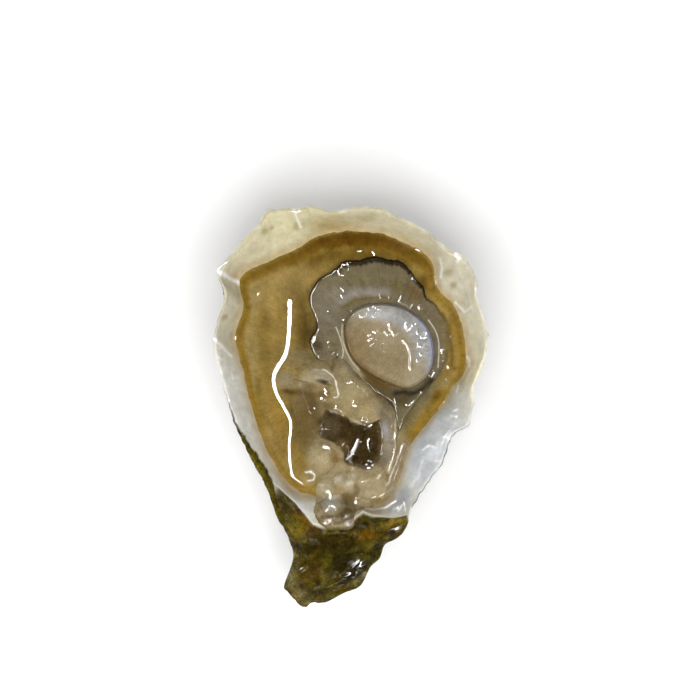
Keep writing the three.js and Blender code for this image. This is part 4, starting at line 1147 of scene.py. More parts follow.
def muscle(around=480):
    shares = np.concatenate([np.linspace(0.02, 0.92, 76), np.linspace(0.928, 1.0, 20)])
    x, y, share, angle = rings_round(MUSCLE_CENTRE, muscle_at, shares, around)
    z = muscle_top(x, y) - MUSCLE_ROUNDING * smooth(0.94, 1, share) + muscle_relief(x, y, share, angle)
    ux, uy, _, _ = rings_round(MUSCLE_CENTRE, muscle_at, [1.0, 0.6], around)
    uz = inside_height(ux, uy) + BED_GAP
    top = height_at(muscle_top, MUSCLE_CENTRE)
    bottom = height_at(inside_height, MUSCLE_CENTRE) + BED_GAP
    corners = stack((*MUSCLE_CENTRE, top), [(x, y, z), (ux, uy, uz)], (*MUSCLE_CENTRE, bottom))
    faces = outward(corners, ring_faces(len(shares) + 2, around))
    x, y = corners[:, 0], corners[:, 1]
    tint = muscle_colours(x, y)
    look = film("muscle", [(1.6, 0.84, 1.14, 5, False)], [(0.5, 0.04, 4, False)], depth=0.002)
    wet = shine(x, y, MUSCLE_FILM, MUSCLE_LINES, MUSCLE_CRUMPLES)
    make_piece("adductor_muscle_cut", "adductor_muscle", corners, faces, tint, look, "muscle", wet=wet)


# ------------------------------------------------------------------ gills

# Raised lines of liquor on the gills: a line and its width.
GILL_LINES = [
    ([(-5.6, 16), (-5.2, 14.6)], 0.3), ([(-4.6, 13), (-3.6, 12.2)], 0.3),
    ([(-8.4, 19.4), (-8.7, 16.4), (-10, 14.9), (-9.6, 13.4), (-8.3, 11.6)], 0.38),
    ([(-6, 23.8), (-5.2, 21.9), (-6.2, 19.7)], 0.34), ([(0.2, 24.2), (-1.2, 22.7), (-2, 21.3)], 0.36),
    ([(-3, 35), (-2.6, 33), (-1.4, 33.2), (-0.7, 35), (-2, 35.4)], 0.36),
    ([(-2.6, 29.6), (-1.7, 29.2), (-1.5, 28), (-2.5, 27.4)], 0.34), ([(-6.5, 33.2), (-6, 32)], 0.32),
    ([(15.5, 31.9), (16.4, 31.1)], 0.36), ([(7.1, 27.1), (9.8, 26.9)], 0.38),
    ([(11.9, 26.4), (13.4, 25.6), (15.2, 24.3)], 0.44), ([(17.1, 25.1), (17.7, 23.9)], 0.34),
    ([(22.9, 14.2), (23.7, 10.8)], 0.34), ([(14.2, -0.4), (15.2, 0.9), (17.1, 2), (18, 3.5)], 0.34),
    ([(20, 7.2), (20.9, 8.6)], 0.36),
    ([(3, 6.6), (4.4, 4.6), (7.1, 2.3), (10.1, 0.8), (11.4, -0.9), (11.9, -5)], 0.32),
]
GILL_CRUMPLES = [
    (-5.4, 33.4, 2.2, 0.1, 1), (-1.6, 34.6, 2, 0.1, 1), (15.6, 32, 1.6, 0.1, 1), (-6.8, 13.6, 2.6, 0.12, 1.1),
]
# Long thin painted highlights beside the muscle.
GILL_HIGHLIGHTS = [
    [(-3.6, 19.6), (-2.8, 17.6), (-2.1, 15.3), (-1.8, 13), (-2.6, 10.4)],
    [(-2, 20.4), (-2.1, 17.6), (-1.4, 14.6), (0.1, 11.4), (2.2, 8.9)],
    [(19.6, 21.4), (21.4, 18.6), (22.2, 15.3), (22, 9.6)],
]
GILL_TINTS = [
    (0.9, (3, 32), (8, 3, 5), (112, 103, 76)), (0.9, (-6, 24), (3.4, 6), (124, 115, 96)),
    (0.8, (-4.6, 31.4), (3, 2, 20), (118, 108, 84)),
    (0.85, [(-2.4, 26.6), (1, 28.2), (5, 28.6), (9, 28)], 1.2, (142, 136, 124)),
    (0.8, [(-1.8, 24.4), (1, 26.4), (5, 27), (10, 26.8)], 0.45, (108, 92, 54)),
    (0.8, (16.2, 28.2), (2.4, 1.8, -35), (102, 82, 44)), (0.7, (12, 30), (3, 1.6, -30), (104, 92, 58)),
    (0.9, (23.2, 17), (2.2, 7), (122, 106, 68)), (0.8, (21.8, 14), (1, 7), (108, 100, 88)),
    (0.85, (-8.2, 15.2), (1.5, 1.6), (62, 46, 20)), (0.7, (-9.6, 20.4), (1, 2.2), (70, 52, 22)),
    (0.8, (-4.6, 16.4), (3, 3), (116, 106, 80)), (0.7, (-2.2, 12.4), (1.4, 2), (134, 122, 94)),
    # The brown stroke along the muscle's lower edge and the near-black stroke under its tip are painted
    # shadow.
    (0.9, (9, 2.6), (8, 2.4, -33), (88, 78, 52)), (0.9, [(0.4, 10.4), (4.2, 7.2), (9, 4.6)], 1, (96, 73, 30)),
    (0.9, [(11.6, 3.2), (14.6, 2.8), (17.4, 3.8), (20.6, 6.6)], 0.9, (44, 36, 22)),
    (0.8, (12.6, 1), (2.6, 1.2, 20), (80, 67, 44)), (0.8, (15.6, 0.2), (2.6, 1.4, 40), (108, 100, 70)),
    (0.8, (13, -3.4), (1.6, 3), (114, 104, 76)),
    (0.95, [(-1, 17.4), (-0.4, 13.4), (1, 9.4), (2.2, 7.4)], 0.9, (150, 139, 110)),
    (0.9, [(-3.4, 12.6), (-3.6, 10.4)], 0.4, (62, 50, 32)),
    (0.8, (-3.4, 28.6), (2.2, 1.6, 20), (132, 124, 106)),
]
# How wet the edge of the gills looks, by direction from the muscle in degrees.
EDGE_FILM = [
    (-180, 0.5), (-170, 0.5), (-164, 0.04), (-136, 0.04), (-130, 0.9), (-84, 0.9), (-80, 0.04), (138, 0.04),
    (143, 0.9), (160, 0.9), (163, 0.1), (168, 0.5), (180, 0.5),
]

# How deep the gills' edge and their underside lie in the ground, how far they stand above their level, and
# how thick they are at least, where they stand up and where they melt into the mantle.
GILL_SINKS, GILL_UNDERSIDE, GILL_STANDS = 0.1, 0.3, 0.4
GILL_LEAST, MELTED_LEAST = 0.9, 0.35

gill_at = seen_from(MUSCLE_CENTRE, closed_line(GILL_EDGE))


def gill_edges(angle):
    """How far the gills start from the muscle's middle, and how far their frilled edge is."""
    upper = smooth(0.1, 0.8, facing(angle, 78))
    waves = np.sin(19 * angle + 1.5 * noise(angle * 3, 0, 0, 1.0))
    frills = mix(0.12, 0.3, upper) * waves + mix(0.06, 0.25, upper) * noise(angle * 26, 0.0, 4.0, 1.0)
    return muscle_at(angle) + 0.1, gill_at(angle) + frills


def gill_height(x, y, share, angle, width):
    """The gills' upper side: fine leaves and a soft roll, with a side that falls to the mantle."""
    ground = ground_height(x, y) - GILL_SINKS
    # On the right the edge melts into the mantle; elsewhere it stands up.
    melts = smooth(0.35, 0.85, facing(angle, -12))
    left = smooth(0.2, 0.8, facing(angle, 160))
    past = np.maximum(0, 2 * share - 1) ** mix(mix(14, 24, left), 2, melts)
    side = np.where(share < 0.5, 1.0, np.maximum(0, 1 - past) ** mix(0.7, 1.2, melts))
    fine_leaves = np.sin(150 * angle + 2.2 * noise(angle * 9, share * 2, 1.0, 1.0))
    leaves = 0.012 * fine_leaves + 0.02 * np.cos(44 * angle)
    roll = 0.25 * bump(share, 0.8, 0.3) + 0.16 * rough(x, y, 6.0, 3.6, 3)
    level = GILL_LEVEL + smooth(1, 7, width) * (leaves + roll) - 0.2 * bump(share, 0, 0.2)
    level = level + ridges(x, y, GILL_LINES) + crumples(x, y, GILL_CRUMPLES)
    return ground + np.maximum(mix(GILL_LEAST, MELTED_LEAST, melts), level + GILL_STANDS - ground) * side


def gill_colours(x, y, share, angle):
    """Grey olive, with soft dark streaks half way out and the black fringe round the upper edge."""
    wx, wy = wandering(x, y, 31.0, 3.0, 0.7)
    c = painted(plain(x, (113, 102, 79)), wx, wy, GILL_TINTS)
    streaks = smooth(0.1, 0.7, noise(angle * 16, share * 1.5, 3.0, 1.0)) * bump(share, 0.5, 0.22)
    c = paint(c, 0.5 * streaks * smooth(0.3, 0.8, facing(angle, 85)), rgb(84, 76, 44))
    fringe = smooth(0.83, 0.91, share + 0.04 * noise(angle * 30, 0, 0, 1.0))
    c = paint(c, 0.96 * (fringe * smooth(0.68, 0.88, facing(angle, 88))), rgb(38, 31, 17))
    left_edge = smooth(0.9, 0.98, share) * smooth(0.3, 0.8, facing(angle, 165))
    c = paint(c, 0.8 * left_edge, rgb(58, 42, 18))
    # Pale strokes along these lines: painted highlights.
    return painted(c, x, y, [(0.65, open_line(line, 4), 0.15, (228, 222, 202)) for line in GILL_HIGHLIGHTS])


def gill_film(x, y, share, angle):
    """How wet the gills look: most on the raised lines and along parts of the edge."""
    edge = np.interp(np.degrees(angle), *np.array(EDGE_FILM).T)
    edge = edge * smooth(-0.5, -0.1, noise(angle * 14, 0, 5.0, 1.0)) * smooth(0.8, 0.9, share)
    return np.maximum(shine(x, y, FLESH_FILM, GILL_LINES, GILL_CRUMPLES), edge)


def gills(around=900):
    angle = (np.arange(around) * TURN / around)[None, :]
    inner, outer = gill_edges(angle)
    near_edge = [0.88, 0.9, 0.92, 0.935, 0.95, 0.96, 0.97, 0.98, 0.99, 1.0]
    shares = np.concatenate([[0, 0.02, 0.045, 0.08], np.linspace(0.11, 0.86, 50), near_edge])[:, None]
    x, y = placed(MUSCLE_CENTRE, mix(inner, outer, shares), angle)
    z = gill_height(x, y, shares + 0 * x, angle, outer - inner)
    under = np.array([0.97, 0.5, 0.03])[:, None]
    ux, uy = placed(MUSCLE_CENTRE, mix(inner, outer, under), angle)
    corners = rows_of_corners([(x, y, z), (ux, uy, ground_height(ux, uy) - GILL_UNDERSIDE)])
    faces = outward(corners, ring_faces(len(shares) + 3, around, closed_band=True))
    share = np.concatenate([(shares + 0 * x).ravel(), (under + 0 * ux).ravel()])
    x, y = corners[:, 0], corners[:, 1]
    a = polar(x, y, MUSCLE_CENTRE)[1]
    grain = np.stack([a * 15, share * 1.2, 0 * a], -1)
    speckles = [(0.9, 0.93, 1.07, 3, True), (2.2, 0.84, 1.12, 4, False)]
    look = film("gills", speckles, [(0.6, 0.02, 3, False)], grain="grain")
    tint, wet = gill_colours(x, y, share, a), gill_film(x, y, share, a)
    make_piece("gill_leaves", "gills", corners, faces, tint, look, "gills", grain=grain, wet=wet)


# ------------------------------------------------------------------ body

# Thin raised lines of the body's skin and of the liquor that clings to it.
BODY_LINES = [
    ([(11.5, -6.2), (11.3, -10.3), (10.8, -12.8), (9.6, -16.6), (8.8, -19.8)], 0.34),
    ([(-4, -0.5), (-3, -1.2), (-2.1, -1.8)], 0.34), ([(0.5, 0.3), (1.6, 0)], 0.34),
    ([(-7.1, 1), (-6.2, 1.8)], 0.24), ([(-6.6, 4.2), (-5.9, 3.6), (-6.3, 2.6)], 0.24),
    ([(-4.9, 3.6), (-4.4, 3.2)], 0.22), ([(-10.4, -1.5), (-9.9, -2)], 0.2),
    ([(-9.2, -0.3), (-8.6, -0.9)], 0.24), ([(-10.8, -11.4), (-10.9, -12.4), (-10.7, -13.5)], 0.3),
    ([(-7.2, -10.3), (-6.2, -11.1), (-5.3, -11.3)], 0.2), ([(-10.4, -15.2), (-10.6, -16.2)], 0.32),
    ([(-0.8, 5.8), (-0.3, 5.2), (0.5, 5.4), (0.4, 6.2)], 0.3), ([(2, 6.6), (2.2, 5.8)], 0.3),
    ([(2.6, -3.6), (3.4, -3.9), (4.2, -3.2)], 0.32), ([(3.6, -4.3), (4.4, -4)], 0.3),
]
BODY_CRUMPLES = [(-6, 3.4, 1.1, 0.05, 0.8), (3.6, -3.6, 1.2, 0.12, 0.8), (4.4, -15.9, 1.4, 0.1, 0.8)]
BODY_LOBES = [
    (-8.9, 7.2, 5.2, 2.7, -4, 3.8, 0.5), (-15, 6, 3.4, 2.6, 0, 2.4, 0.4), (0, 9.6, 3.4, 5.6, 0, 3.7, 0.3),
    (0.6, 3.4, 5.2, 4.4, -14, 4, 0.5), (4.6, -0.6, 4.4, 3.2, -30, 3.9, 0.5), (9.4, -6.8, 3, 9.4, 5, 3.5, 0.3),
    (-7.8, -13.4, 3.2, 3, 0, 4.5, 0.8), (1, -17.4, 9, 2.8, 4, 3.4, 0.5),
    (-11.2, -2.6, 4.6, 6.4, 10, 2.7, 0.4), (-5.8, 2.6, 1.5, 1.5, 0, 3.3, 0.5),
    (5.8, -16.4, 2.8, 2.2, -20, 3.7, 0.5), (-2.4, -15.6, 3, 2, 10, 3.6, 0.5), (0.4, -8.6, 9, 8, 0, 3.3, 0.3),
]
# The long painted highlight that curls round the left fold.
FOLD_HIGHLIGHT = open_line([
    (-7.2, 8.9), (-5.8, 8.4), (-4.4, 6.9), (-3.6, 5.4), (-3.0, 3.5), (-3.3, 2.2), (-4.1, 2.1),
], 4)
BODY_TINTS = [
    (1, (-10.6, -2.6), (5, 5.6, 10), (105, 87, 50)), (0.9, (-11.6, -7.4), (3.4, 4.4), (104, 86, 48)),
    (0.7, (-6.6, -1.6), (2.4, 2.4), (126, 110, 74)), (0.8, (-4.8, -0.4), (2.2, 1.4), (112, 98, 66)),
    (0.95, (-8.9, 7.6), (4.8, 1.9, -4), (164, 151, 122)), (0.9, (-14.2, 5.8), (2.8, 1.6), (158, 144, 113)),
    (0.95, (-0.6, 8.8), (2, 4), (176, 162, 128)), (0.95, (0.6, 3.2), (4.6, 3.8, -14), (160, 146, 108)),
    (0.9, (4.2, -0.8), (4.2, 2.4, -30), (162, 146, 106)), (0.8, (8.2, -1.4), (1.8, 2.6, 30), (144, 131, 104)),
    # The dark brown strips at (-13.9, 3.4) and (-9.6, 2.6) are painted shadow under the left fold.
    (0.8, (-9.5, 4.6), (2.3, 0.9), (126, 103, 64)), (0.9, (-13.9, 3.4), (3.4, 0.9, -3), (84, 62, 28)),
    (0.7, (-9.6, 2.6), (3.6, 1, 6), (104, 80, 40)), (0.7, (-6.2, 3), (1.4, 1.4), (126, 102, 60)),
    # The slit in the left fold: its dark inside is painted shade, and the grey strip above it is its painted
    # lit lip.
    (0.95, (-7, 6), (1.9, 0.55, -21), (46, 36, 20)), (0.8, (-7.2, 6.9), (1.8, 0.5, -21), (150, 144, 130)),
    (0.8, (-10.2, 7.4), (3.2, 1.3, -4), (170, 157, 128)),
    (0.7, [(-14.2, 7), (-12.6, 8.8), (-10.6, 9.7)], 0.35, (104, 88, 54)),
    (0.7, [(-4.4, 12.6), (-4.2, 10.6), (-4.6, 9)], 0.35, (86, 74, 50)),
    (0.9, (9.6, -7), (2, 9, 5), (138, 127, 102)), (0.6, (8.4, -4), (1, 3, 10), (160, 148, 122)),
    (0.95, (-7.8, -13.4), (3.1, 2.9), (168, 153, 118)), (0.8, (-3.8, -13.4), (1.2, 2.2, 20), (124, 100, 54)),
    (0.85, (-2.2, -16), (2.6, 1.6), (158, 142, 106)), (0.8, (3, -17.4), (6, 1.8, 4), (152, 137, 102)),
    # A long thin painted highlight down the body's right side.
    (0.6, open_line([(11.3, -3.6), (11.2, -7.2), (10.9, -12), (9.8, -16.2),
     (9, -19.4)], 4), 0.2, (214, 204, 176)),
    (0.5, [(9, -5.4), (9.6, -9), (9, -14)], 0.8, (140, 135, 126)),
    (0.8, (8.6, -3.2), (1.4, 2.6, 20), (120, 110, 90)), (0.9, (8.1, -13.6), (1.4, 2.4), (116, 106, 88)),
    # Painted highlights: a small bluish white spot, the hook and the long curl round the left fold.
    (0.8, (8.7, -6.2), (0.9, 2.2, 5), (158, 153, 150)), (1, HOOK_HIGHLIGHT, 0.2, (252, 250, 240)),
    (0.9, FOLD_HIGHLIGHT, 0.17, (246, 243, 230)),
]
# The slit in the left fold: its place, its reach and turn, and its depth.
SLIT, SLIT_REACH, SLIT_DEPTH = (-7.0, 6.0), (1.9, 0.55, -21), 0.8
# Rings for the heaps, closest near the edge.
FINE_SHARES = np.concatenate([
    np.linspace(0.02, 0.8, 88), np.linspace(0.808, 0.96, 30), np.linspace(0.964, 0.998, 12),
])

body_at = seen_from(BODY_CENTRE, closed_line(BODY))
gland_at = seen_from(GLAND_CENTRE, closed_line(GLAND))


def body_rise(x, y):
    """The body's lobes, with the crater that the gland lies in and a slit in the left fold."""
    past_gland = share_and_angle(x, y, GLAND_CENTRE, gland_at)[0]
    crater = CRATER_DEPTH * smooth(1.35, 0.75, past_gland)
    slit = SLIT_DEPTH * spot(x, y, SLIT, *SLIT_REACH)
    rise = lobed(x, y, BODY_LOBES)[0] - crater - slit + 0.12 * rough(x, y, 44.0, 3.2, 3) + 0.1
    return rise + ridges(x, y, BODY_LINES) + crumples(x, y, BODY_CRUMPLES)


def body_softness(angle):
    """The body's side is a long slope on the left and towards the palps, and steep towards the gills."""
    steep, soft = 0.2, np.where(np.sin(angle) > 0, 0.7, 1.0)
    return mix(steep, soft, smooth(0.55, 0.1, np.cos(angle)))


def body_top(x, y):
    """The top of the body, or the ground past it: what the palps and the gland lie on."""
    share, angle = share_and_angle(x, y, BODY_CENTRE, body_at)
    return ground_height(x, y) + body_rise(x, y) * side_profile(np.minimum(1, share), body_softness(angle))


def body_colours(x, y):
    wx, wy = wandering(x, y, 51.0, 3.0, 0.5)
    c = painted(plain(x, (150, 134, 98)), wx, wy, BODY_TINTS)
    # The creases between the lobes are darkened: painted shade.
    return paint(c, 0.3 * lobed(x, y, BODY_LOBES)[1], rgb(108, 86, 50))


def visceral_mass():
    corners, faces, share = heap(BODY_CENTRE, BODY, 480, FINE_SHARES, ground_height, body_rise, body_softness)
    x, y = corners[:, 0], corners[:, 1]
    # Its thin side on the left takes the colour of the mantle under it.
    rim = smooth(0.74, 0.99, share) * smooth(-0.3, 0.3, facing(polar(x, y, BODY_CENTRE)[1], 185))
    c = mix(body_colours(x, y), mantle_colours(x, y), rim[:, None])
    past_gland = share_and_angle(x, y, GLAND_CENTRE, gland_at)[0]
    c = paint(c, 0.85 * smooth(1.14, 0.98, past_gland + 0.1 * rough(x, y, 3.0, 1.6)), rgb(62, 50, 28))
    look = film("body", [(1.8, 0.84, 1.14, 5, False)], [(0.6, 0.03, 4, False)], depth=0.0018)
    wet = shine(x, y, thin_film(x, y), BODY_LINES, BODY_CRUMPLES)
    make_piece("visceral_body", "visceral_mass", corners, faces, c, look, "body", wet=wet)


# ------------------------------------------------------------------ digestive gland

# The long painted highlight on the gland.
GLAND_HIGHLIGHT = open_line([(1.9, -8.6), (1.4, -10.4), (0.4, -12.2), (-0.9, -13.5)], 4)
# Raised lines of liquor on the gland: a line and its width.
GLAND_LINES = [
    ([(1.9, -8.6), (1.2, -10.6), (0.3, -12.2)], 0.36),
    ([(5.5, -7.7), (4.6, -9.2), (4.9, -11.1), (5.3, -12.3)], 0.34),
    ([(5.3, -12.3), (6.1, -11.1), (6.9, -9.2), (6.4, -7.6)], 0.32),
    ([(-6.3, -2.6), (-7, -3.9), (-7.2, -5.7), (-6.8, -7.5)], 0.34),
    ([(-3.7, -8.9), (-3, -9.6), (-1.9, -10.2)], 0.36), ([(-0.2, -4.7), (0.7, -4.8), (1.9, -5.1)], 0.32),
    ([(4.9, -6.1), (6.4, -5.1), (7, -4.1)], 0.32), ([(-3.4, -11), (-2.2, -11.5)], 0.32),
    ([(-6, -3.2), (-5, -3.4)], 0.32), ([(6.9, -6.4), (7.3, -7.4)], 0.3), ([(2.5, -14.8), (3.4, -15.3)], 0.32),
    ([(4.4, -15.3), (5.6, -14.8)], 0.32), ([(6.8, -13.4), (7.1, -12.4)], 0.28),
]
GLAND_CRUMPLES = [(5.9, -9.8, 1, 0.14, 0.6), (4.2, -15, 1, 0.12, 0.6)]
HEAP_SOFTNESS = 0.8


def even_softness(angle):
    return HEAP_SOFTNESS + 0 * angle


def gland_rise(x, y):
    lumps = 0.14 * rough(x, y, 5.0, 1.8, 3)
    return GLAND_RISE + lumps + ridges(x, y, GLAND_LINES) + crumples(x, y, GLAND_CRUMPLES)


def gland_colours(x, y, share):
    """Near black, with paler patches and one long painted highlight."""
    c = blotched(plain(x, (58, 46, 24)), x, y, [
        (0.7, 0.1, 0.6, 6, 1.6, 4, (78, 62, 34)), (0.8, 0, -0.5, 6, 1.8, 4, (30, 22, 8)),
    ])
    c = painted(c, x, y, [
        (0.7, (-5.0, -5.4), (2.6, 2.6), (92, 78, 56)), (0.9, GLAND_HIGHLIGHT, 0.22, (236, 234, 228)),
        (0.8, (-2.6, -10.6), (1.6, 2.4, -40), (104, 84, 46)),
    ])
    return paint(c, 0.6 * smooth(0.86, 1.0, share + 0.1 * rough(x, y, 1.0, 1.6)), rgb(96, 80, 50))


def digestive_gland():
    shares = FINE_SHARES[::2]
    corners, faces, share = heap(GLAND_CENTRE, GLAND, 360, shares, body_top, gland_rise, even_softness)
    x, y = corners[:, 0], corners[:, 1]
    tint = gland_colours(x, y, share)
    look = film("gland", [(0.8, 0.7, 1.3, 4, False)], [(0.5, 0.03, 4, False)], subsurface=0)
    wet = shine(x, y, HEAP_FILM, GLAND_LINES, GLAND_CRUMPLES)
    make_piece("digestive_gland_dark", "digestive_gland", corners, faces, tint, look, "gland", wet=wet)


# ------------------------------------------------------------------ palps

PALP_LOBES = [
    (-6.2, -21.2, 2.8, 2.6, 0, 2.5, 0.7), (-1.4, -19.4, 3, 2.1, 20, 2.7, 0.8),
    (-4.5, -24.2, 2.3, 2.2, 0, 2.7, 0.8), (-6.6, -17.8, 3, 2.2, 10, 1.6, 0.5),
    (2.8, -20, 3.2, 2.8, 10, 1.9, 0.5), (6.4, -21.4, 3, 3.2, -10, 2.3, 0.6),
    (4.8, -23.8, 2.8, 1.6, 30, 1.9, 0.6), (5.6, -17.8, 4, 1.8, 0, 1.5, 0.4),
    (-7.8, -26, 1.2, 1.6, 0, 1.4, 0.5), (-5.8, -28.9, 1.6, 1.3, 30, 1.7, 0.8),
    (-3, -28, 1.5, 1.1, -10, 1.4, 0.7), (-0.3, -29.6, 1.4, 1.2, 10, 1.9, 0.8),
    (-2.9, -30.2, 1.5, 1, 0, 1.5, 0.7), (-0.9, -27, 1.2, 0.9, 30, 1.2, 0.6),
    (0.2, -23.4, 2.2, 3, 14, 0.7, 0.2),
]
PALP_LINES = [
    ([(-6.6, -24), (-5.6, -23.8), (-4.9, -23.2), (-4.1, -22.8)], 0.42), ([(1.5, -23.2), (1.7, -24.8)], 0.4),
    ([(7.5, -22.1), (7.9, -23.1)], 0.32), ([(5.3, -22.9), (5.6, -23.4)], 0.3),
    ([(-6.2, -25.9), (-5.6, -26.2)], 0.34), ([(-4.2, -26), (-3.5, -25.4)], 0.28),
    ([(6.8, -18.2), (7.6, -18.5)], 0.3), ([(3, -18.9), (3.3, -19.4)], 0.28), ([(8.3, -19), (7.9, -20)], 0.28),
    ([(-6.4, -28.4), (-5.8, -28.9), (-6.2, -29.5)], 0.28), ([(-5.2, -28.2), (-4.6, -28.8)], 0.28),
    ([(-1.2, -28.6), (-0.6, -28.4)], 0.28), ([(-0.9, -29.8), (-0.4, -30.4)], 0.28),
    ([(0.3, -28.2), (0.7, -28.8)], 0.26),
]
PALP_CRUMPLES = [(-5.6, -29, 1.2, 0.12, 0.8), (-0.4, -29.4, 1.1, 0.1, 0.8)]
PALP_TINTS = [
    (0.9, (5.4, -21.2), (4.4, 3.2), (164, 150, 118)), (0.9, (-7.4, -18), (2.4, 1.4), (156, 142, 104)),
    (0.95, (-0.6, -23.4), (2.3, 2, 20), (92, 74, 42)), (0.8, (1.4, -21.6), (0.9, 2.2, -10), (112, 94, 60)),
    (1, (-5.6, -20.9), (2.5, 2), (160, 147, 114)), (0.95, (-1.6, -19.9), (2.4, 1.2, -18), (174, 162, 132)),
    (0.8, (-2.4, -20.9), (1.3, 0.7), (146, 122, 74)), (0.8, (0, -19.3), (0.9, 0.6, -30), (206, 198, 178)),
    (1, (-4.9, -24.8), (2.2, 1.9), (168, 165, 155)), (0.9, (-3, -28.2), (4.2, 2), (126, 112, 82)),
    (0.8, (-5.7, -29), (1.2, 1), (164, 152, 122)), (0.8, (-0.4, -29.4), (1.1, 1.1), (160, 156, 148)),
    (0.7, (-1, -26.2), (2.4, 1), (98, 80, 48)), (0.8, (7, -23.9), (1.6, 1.2), (124, 100, 54)),
    (0.6, (-7.9, -26), (0.9, 1.6), (140, 126, 92)), (0.5, (3.6, -17.6), (5, 1), (152, 138, 104)),
]

palp_lobes, palp_crumples = straight_rows(PALP_LOBES), straight_rows(PALP_CRUMPLES)
palp_lines = [(straighten(points), width) for points, width in PALP_LINES]


def palps_rise(x, y):
    rise = lobed(x, y, palp_lobes)[0] + 0.1 * rough(x, y, 7.0, 1.8, 3)
    return rise + ridges(x, y, palp_lines) + crumples(x, y, palp_crumples)


def palps_softness(angle):
    """A long slope towards the body, and steep towards the hinge."""
    return smooth(-1.2, -0.2, np.sin(angle))


def palps_colours(x, y, share):
    """Cream, browner towards the hinge, and the body's colour where they run into it."""
    wx, wy = wandering(x, y, 61.0, 2.0, 0.6)
    c = painted(plain(x, (156, 141, 106)), wx, wy, PALP_TINTS)
    creases = lobed(x + lean(y), y, palp_lobes)[1]
    # The creases between the lobes are darkened: painted shade.
    c = paint(c, mix(0.5, 0.2, smooth(-24, -22, y)) * creases, rgb(104, 84, 50))
    c = paint(c, 0.8 * smooth(0.86, 0.98, share) * smooth(-26.5, -28.5, y), rgb(88, 72, 44))
    c = mix(c, body_colours(x, y), (smooth(0.74, 0.99, share) * smooth(-20.5, -18.5, y))[:, None])
    return paint(c, 0.6 * smooth(0.1, 0.5, rough(x, y, 9.0, 1.4, 3)) * smooth(-24.6, -28, y), rgb(80, 66, 42))


def palps():
    shares = FINE_SHARES[::2]
    corners, faces, share = heap(PALPS_CENTRE, PALPS, 420, shares, body_top, palps_rise, palps_softness)
    x, y = corners[:, 0], corners[:, 1]
    tint = palps_colours(x - lean(y), y, share)
    look = film("palps", [(1.2, 0.84, 1.14, 5, False)], [(0.5, 0.04, 4, False)], depth=0.0016)
    wet = shine(x, y, HEAP_FILM, palp_lines, palp_crumples)
    make_piece("labial_palps", "palps", corners, faces, tint, look, "palps", wet=wet)


# ------------------------------------------------------------------ hinge ligament


def ligament_rise(x, y):
    return LIGAMENT_RISE + 0.45 * rough(x, y * 1.6, 3.0, 2.4, 4)


def ligament():
    shares = FINE_SHARES[::4]
    corners, faces, _ = heap(
        LIGAMENT_CENTRE, LIGAMENT, 240, shares, inside_height, ligament_rise, even_softness
    )
    x, y = corners[:, 0], corners[:, 1]
    tint = blotched(plate_colours(plain(x, CRUST), x - lean(y), y, 1.0), x, y, [
        (0.7, 0.1, 0.6, 6, 2, 3, (82, 66, 20)), (0.5, -0.1, -0.6, 16, 1.2, 3, (34, 28, 12)),
    ])
    speckles = [(1.5, 0.5, 1.5, 6, False), (0.45, 0.6, 1.35, 4, False)]
    look = node_material("ligament", speckles, [(1.6, 0.5, 6, False)], roughness=0.55, ior=1.45, wet=False)
    make_piece("hinge_ligament_pad", "hinge_ligament", corners, faces, tint, look, "ligament")


shell()
ligament()
mantle()
gills()
muscle()
visceral_mass()
digestive_gland()
palps()

# ------------------------------------------------------------------ floor, light and camera

scene = bpy.context.scene
scene.view_settings.view_transform = "Standard"
scene.view_settings.look = "None"

FLOOR_HALF, FLOOR_DROP, FLOOR_TINT, FLOOR_ROUGHNESS = 3.0, 0.00005, 0.93, 0.8
SKY, SKY_STRENGTH = (1, 1, 1, 1), 0.08
# Soft lights: name, azimuth, zenith, distance, width, height and radiance.
SOFT_LIGHTS = [
    ("soft_overhead", -85, 26, 0.9, 0.8, 0.8, 3.9), ("soft_left", 180, 50, 0.8, 0.5, 0.6, 2.2),
    ("soft_right", 0, 50, 0.8, 0.5, 0.6, 1.8),
]
# The ring of strips: how many, and their zenith, distance and width; their height and radiance, on the left
# and elsewhere.
STRIPS, STRIP_ZENITH, STRIP_DISTANCE, STRIP_WIDTH = 8, 54, 0.8, 0.54
LEFT_STRIP, OTHER_STRIP = (0.13, 100), (0.1, 80)
# Height and place of the camera, the height that it frames, and how wide it sees there, all in metres.
EYE, FRAMED_HEIGHT, FRAMED_WIDTH, SENSOR = (-0.0001, 0.0139, 1.2), 0.022, 0.175, 36


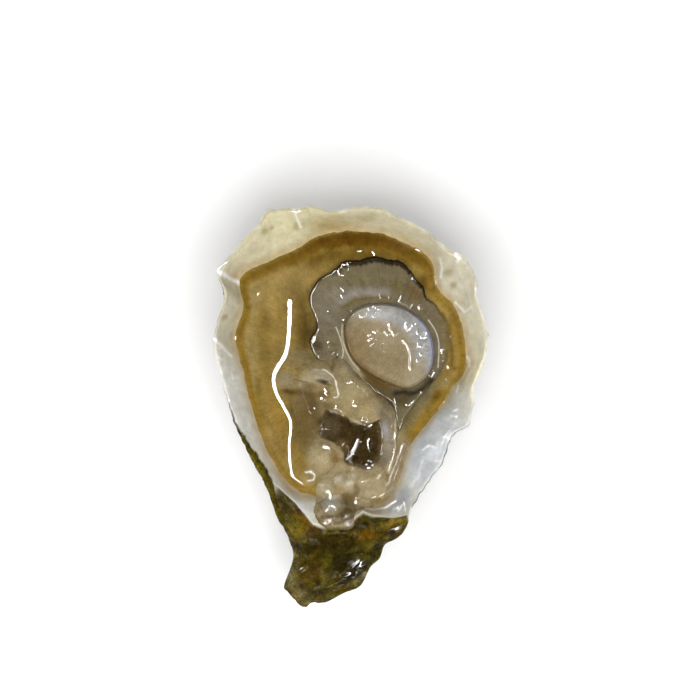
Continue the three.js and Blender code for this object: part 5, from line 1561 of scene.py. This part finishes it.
def stage_floor():
    mesh = bpy.data.meshes.new("floor")
    corners = [(x * FLOOR_HALF, y * FLOOR_HALF, 0) for x, y in ((-1, -1), (1, -1), (1, 1), (-1, 1))]
    mesh.from_pydata(corners, [], [(0, 1, 2, 3)])
    floor = bpy.data.objects.new("floor", mesh)
    scene.collection.objects.link(floor)
    material = bpy.data.materials.new("floor")
    material.use_nodes = True
    shader = material.node_tree.nodes["Principled BSDF"]
    set_numbers(shader, {"Base Color": (FLOOR_TINT, FLOOR_TINT, FLOOR_TINT, 1), "Roughness": FLOOR_ROUGHNESS})
    mesh.materials.append(material)
    floor.location = (0, 0, -FLOOR_DROP)


def area_light(name, azimuth, zenith, away, width, height, radiance, glossy=True, diffuse=True):
    """A rectangular light that looks at the oyster. Azimuth is in degrees from +X, zenith from upright."""
    light = bpy.data.lights.new(name, "AREA")
    light.shape, light.size, light.size_y = "RECTANGLE", width, height
    light.energy = radiance * math.pi * width * height
    lamp = bpy.data.objects.new(name, light)
    scene.collection.objects.link(lamp)
    a, z = math.radians(azimuth), math.radians(zenith)
    direction = (math.sin(z) * math.cos(a), math.sin(z) * math.sin(a), math.cos(z))
    lamp.location = tuple(away * d for d in direction)
    lamp.rotation_euler = (z, 0, a + math.pi / 2)
    lamp.visible_camera = False
    lamp.visible_glossy = glossy
    lamp.visible_diffuse = diffuse


def lights():
    """Soft lights for the colours, a faint sky, and a ring of strips for the gloss. The strips are at one
    height, so that a slope of about one in two shines whichever way it faces."""
    scene.world = bpy.data.worlds.new("world")
    scene.world.use_nodes = True
    set_numbers(scene.world.node_tree.nodes["Background"], {"Color": SKY, "Strength": SKY_STRENGTH})
    for row in SOFT_LIGHTS:
        area_light(*row, glossy=False)
    for azimuth in range(0, 360, 360 // STRIPS):
        strip = LEFT_STRIP if 100 < azimuth < 260 else OTHER_STRIP
        area_light(
            f"glint_{azimuth}", azimuth, STRIP_ZENITH, STRIP_DISTANCE, STRIP_WIDTH, *strip, diffuse=False
        )


def camera():
    """Straight down, as in the photo."""
    lens = bpy.data.cameras.new("camera")
    lens.sensor_width = SENSOR
    lens.lens = SENSOR * (EYE[2] - FRAMED_HEIGHT) / FRAMED_WIDTH
    lens.clip_start, lens.clip_end = 0.05, 20
    eye = bpy.data.objects.new("camera", lens)
    scene.collection.objects.link(eye)
    eye.location = EYE
    scene.camera = eye


stage_floor()
lights()
camera()
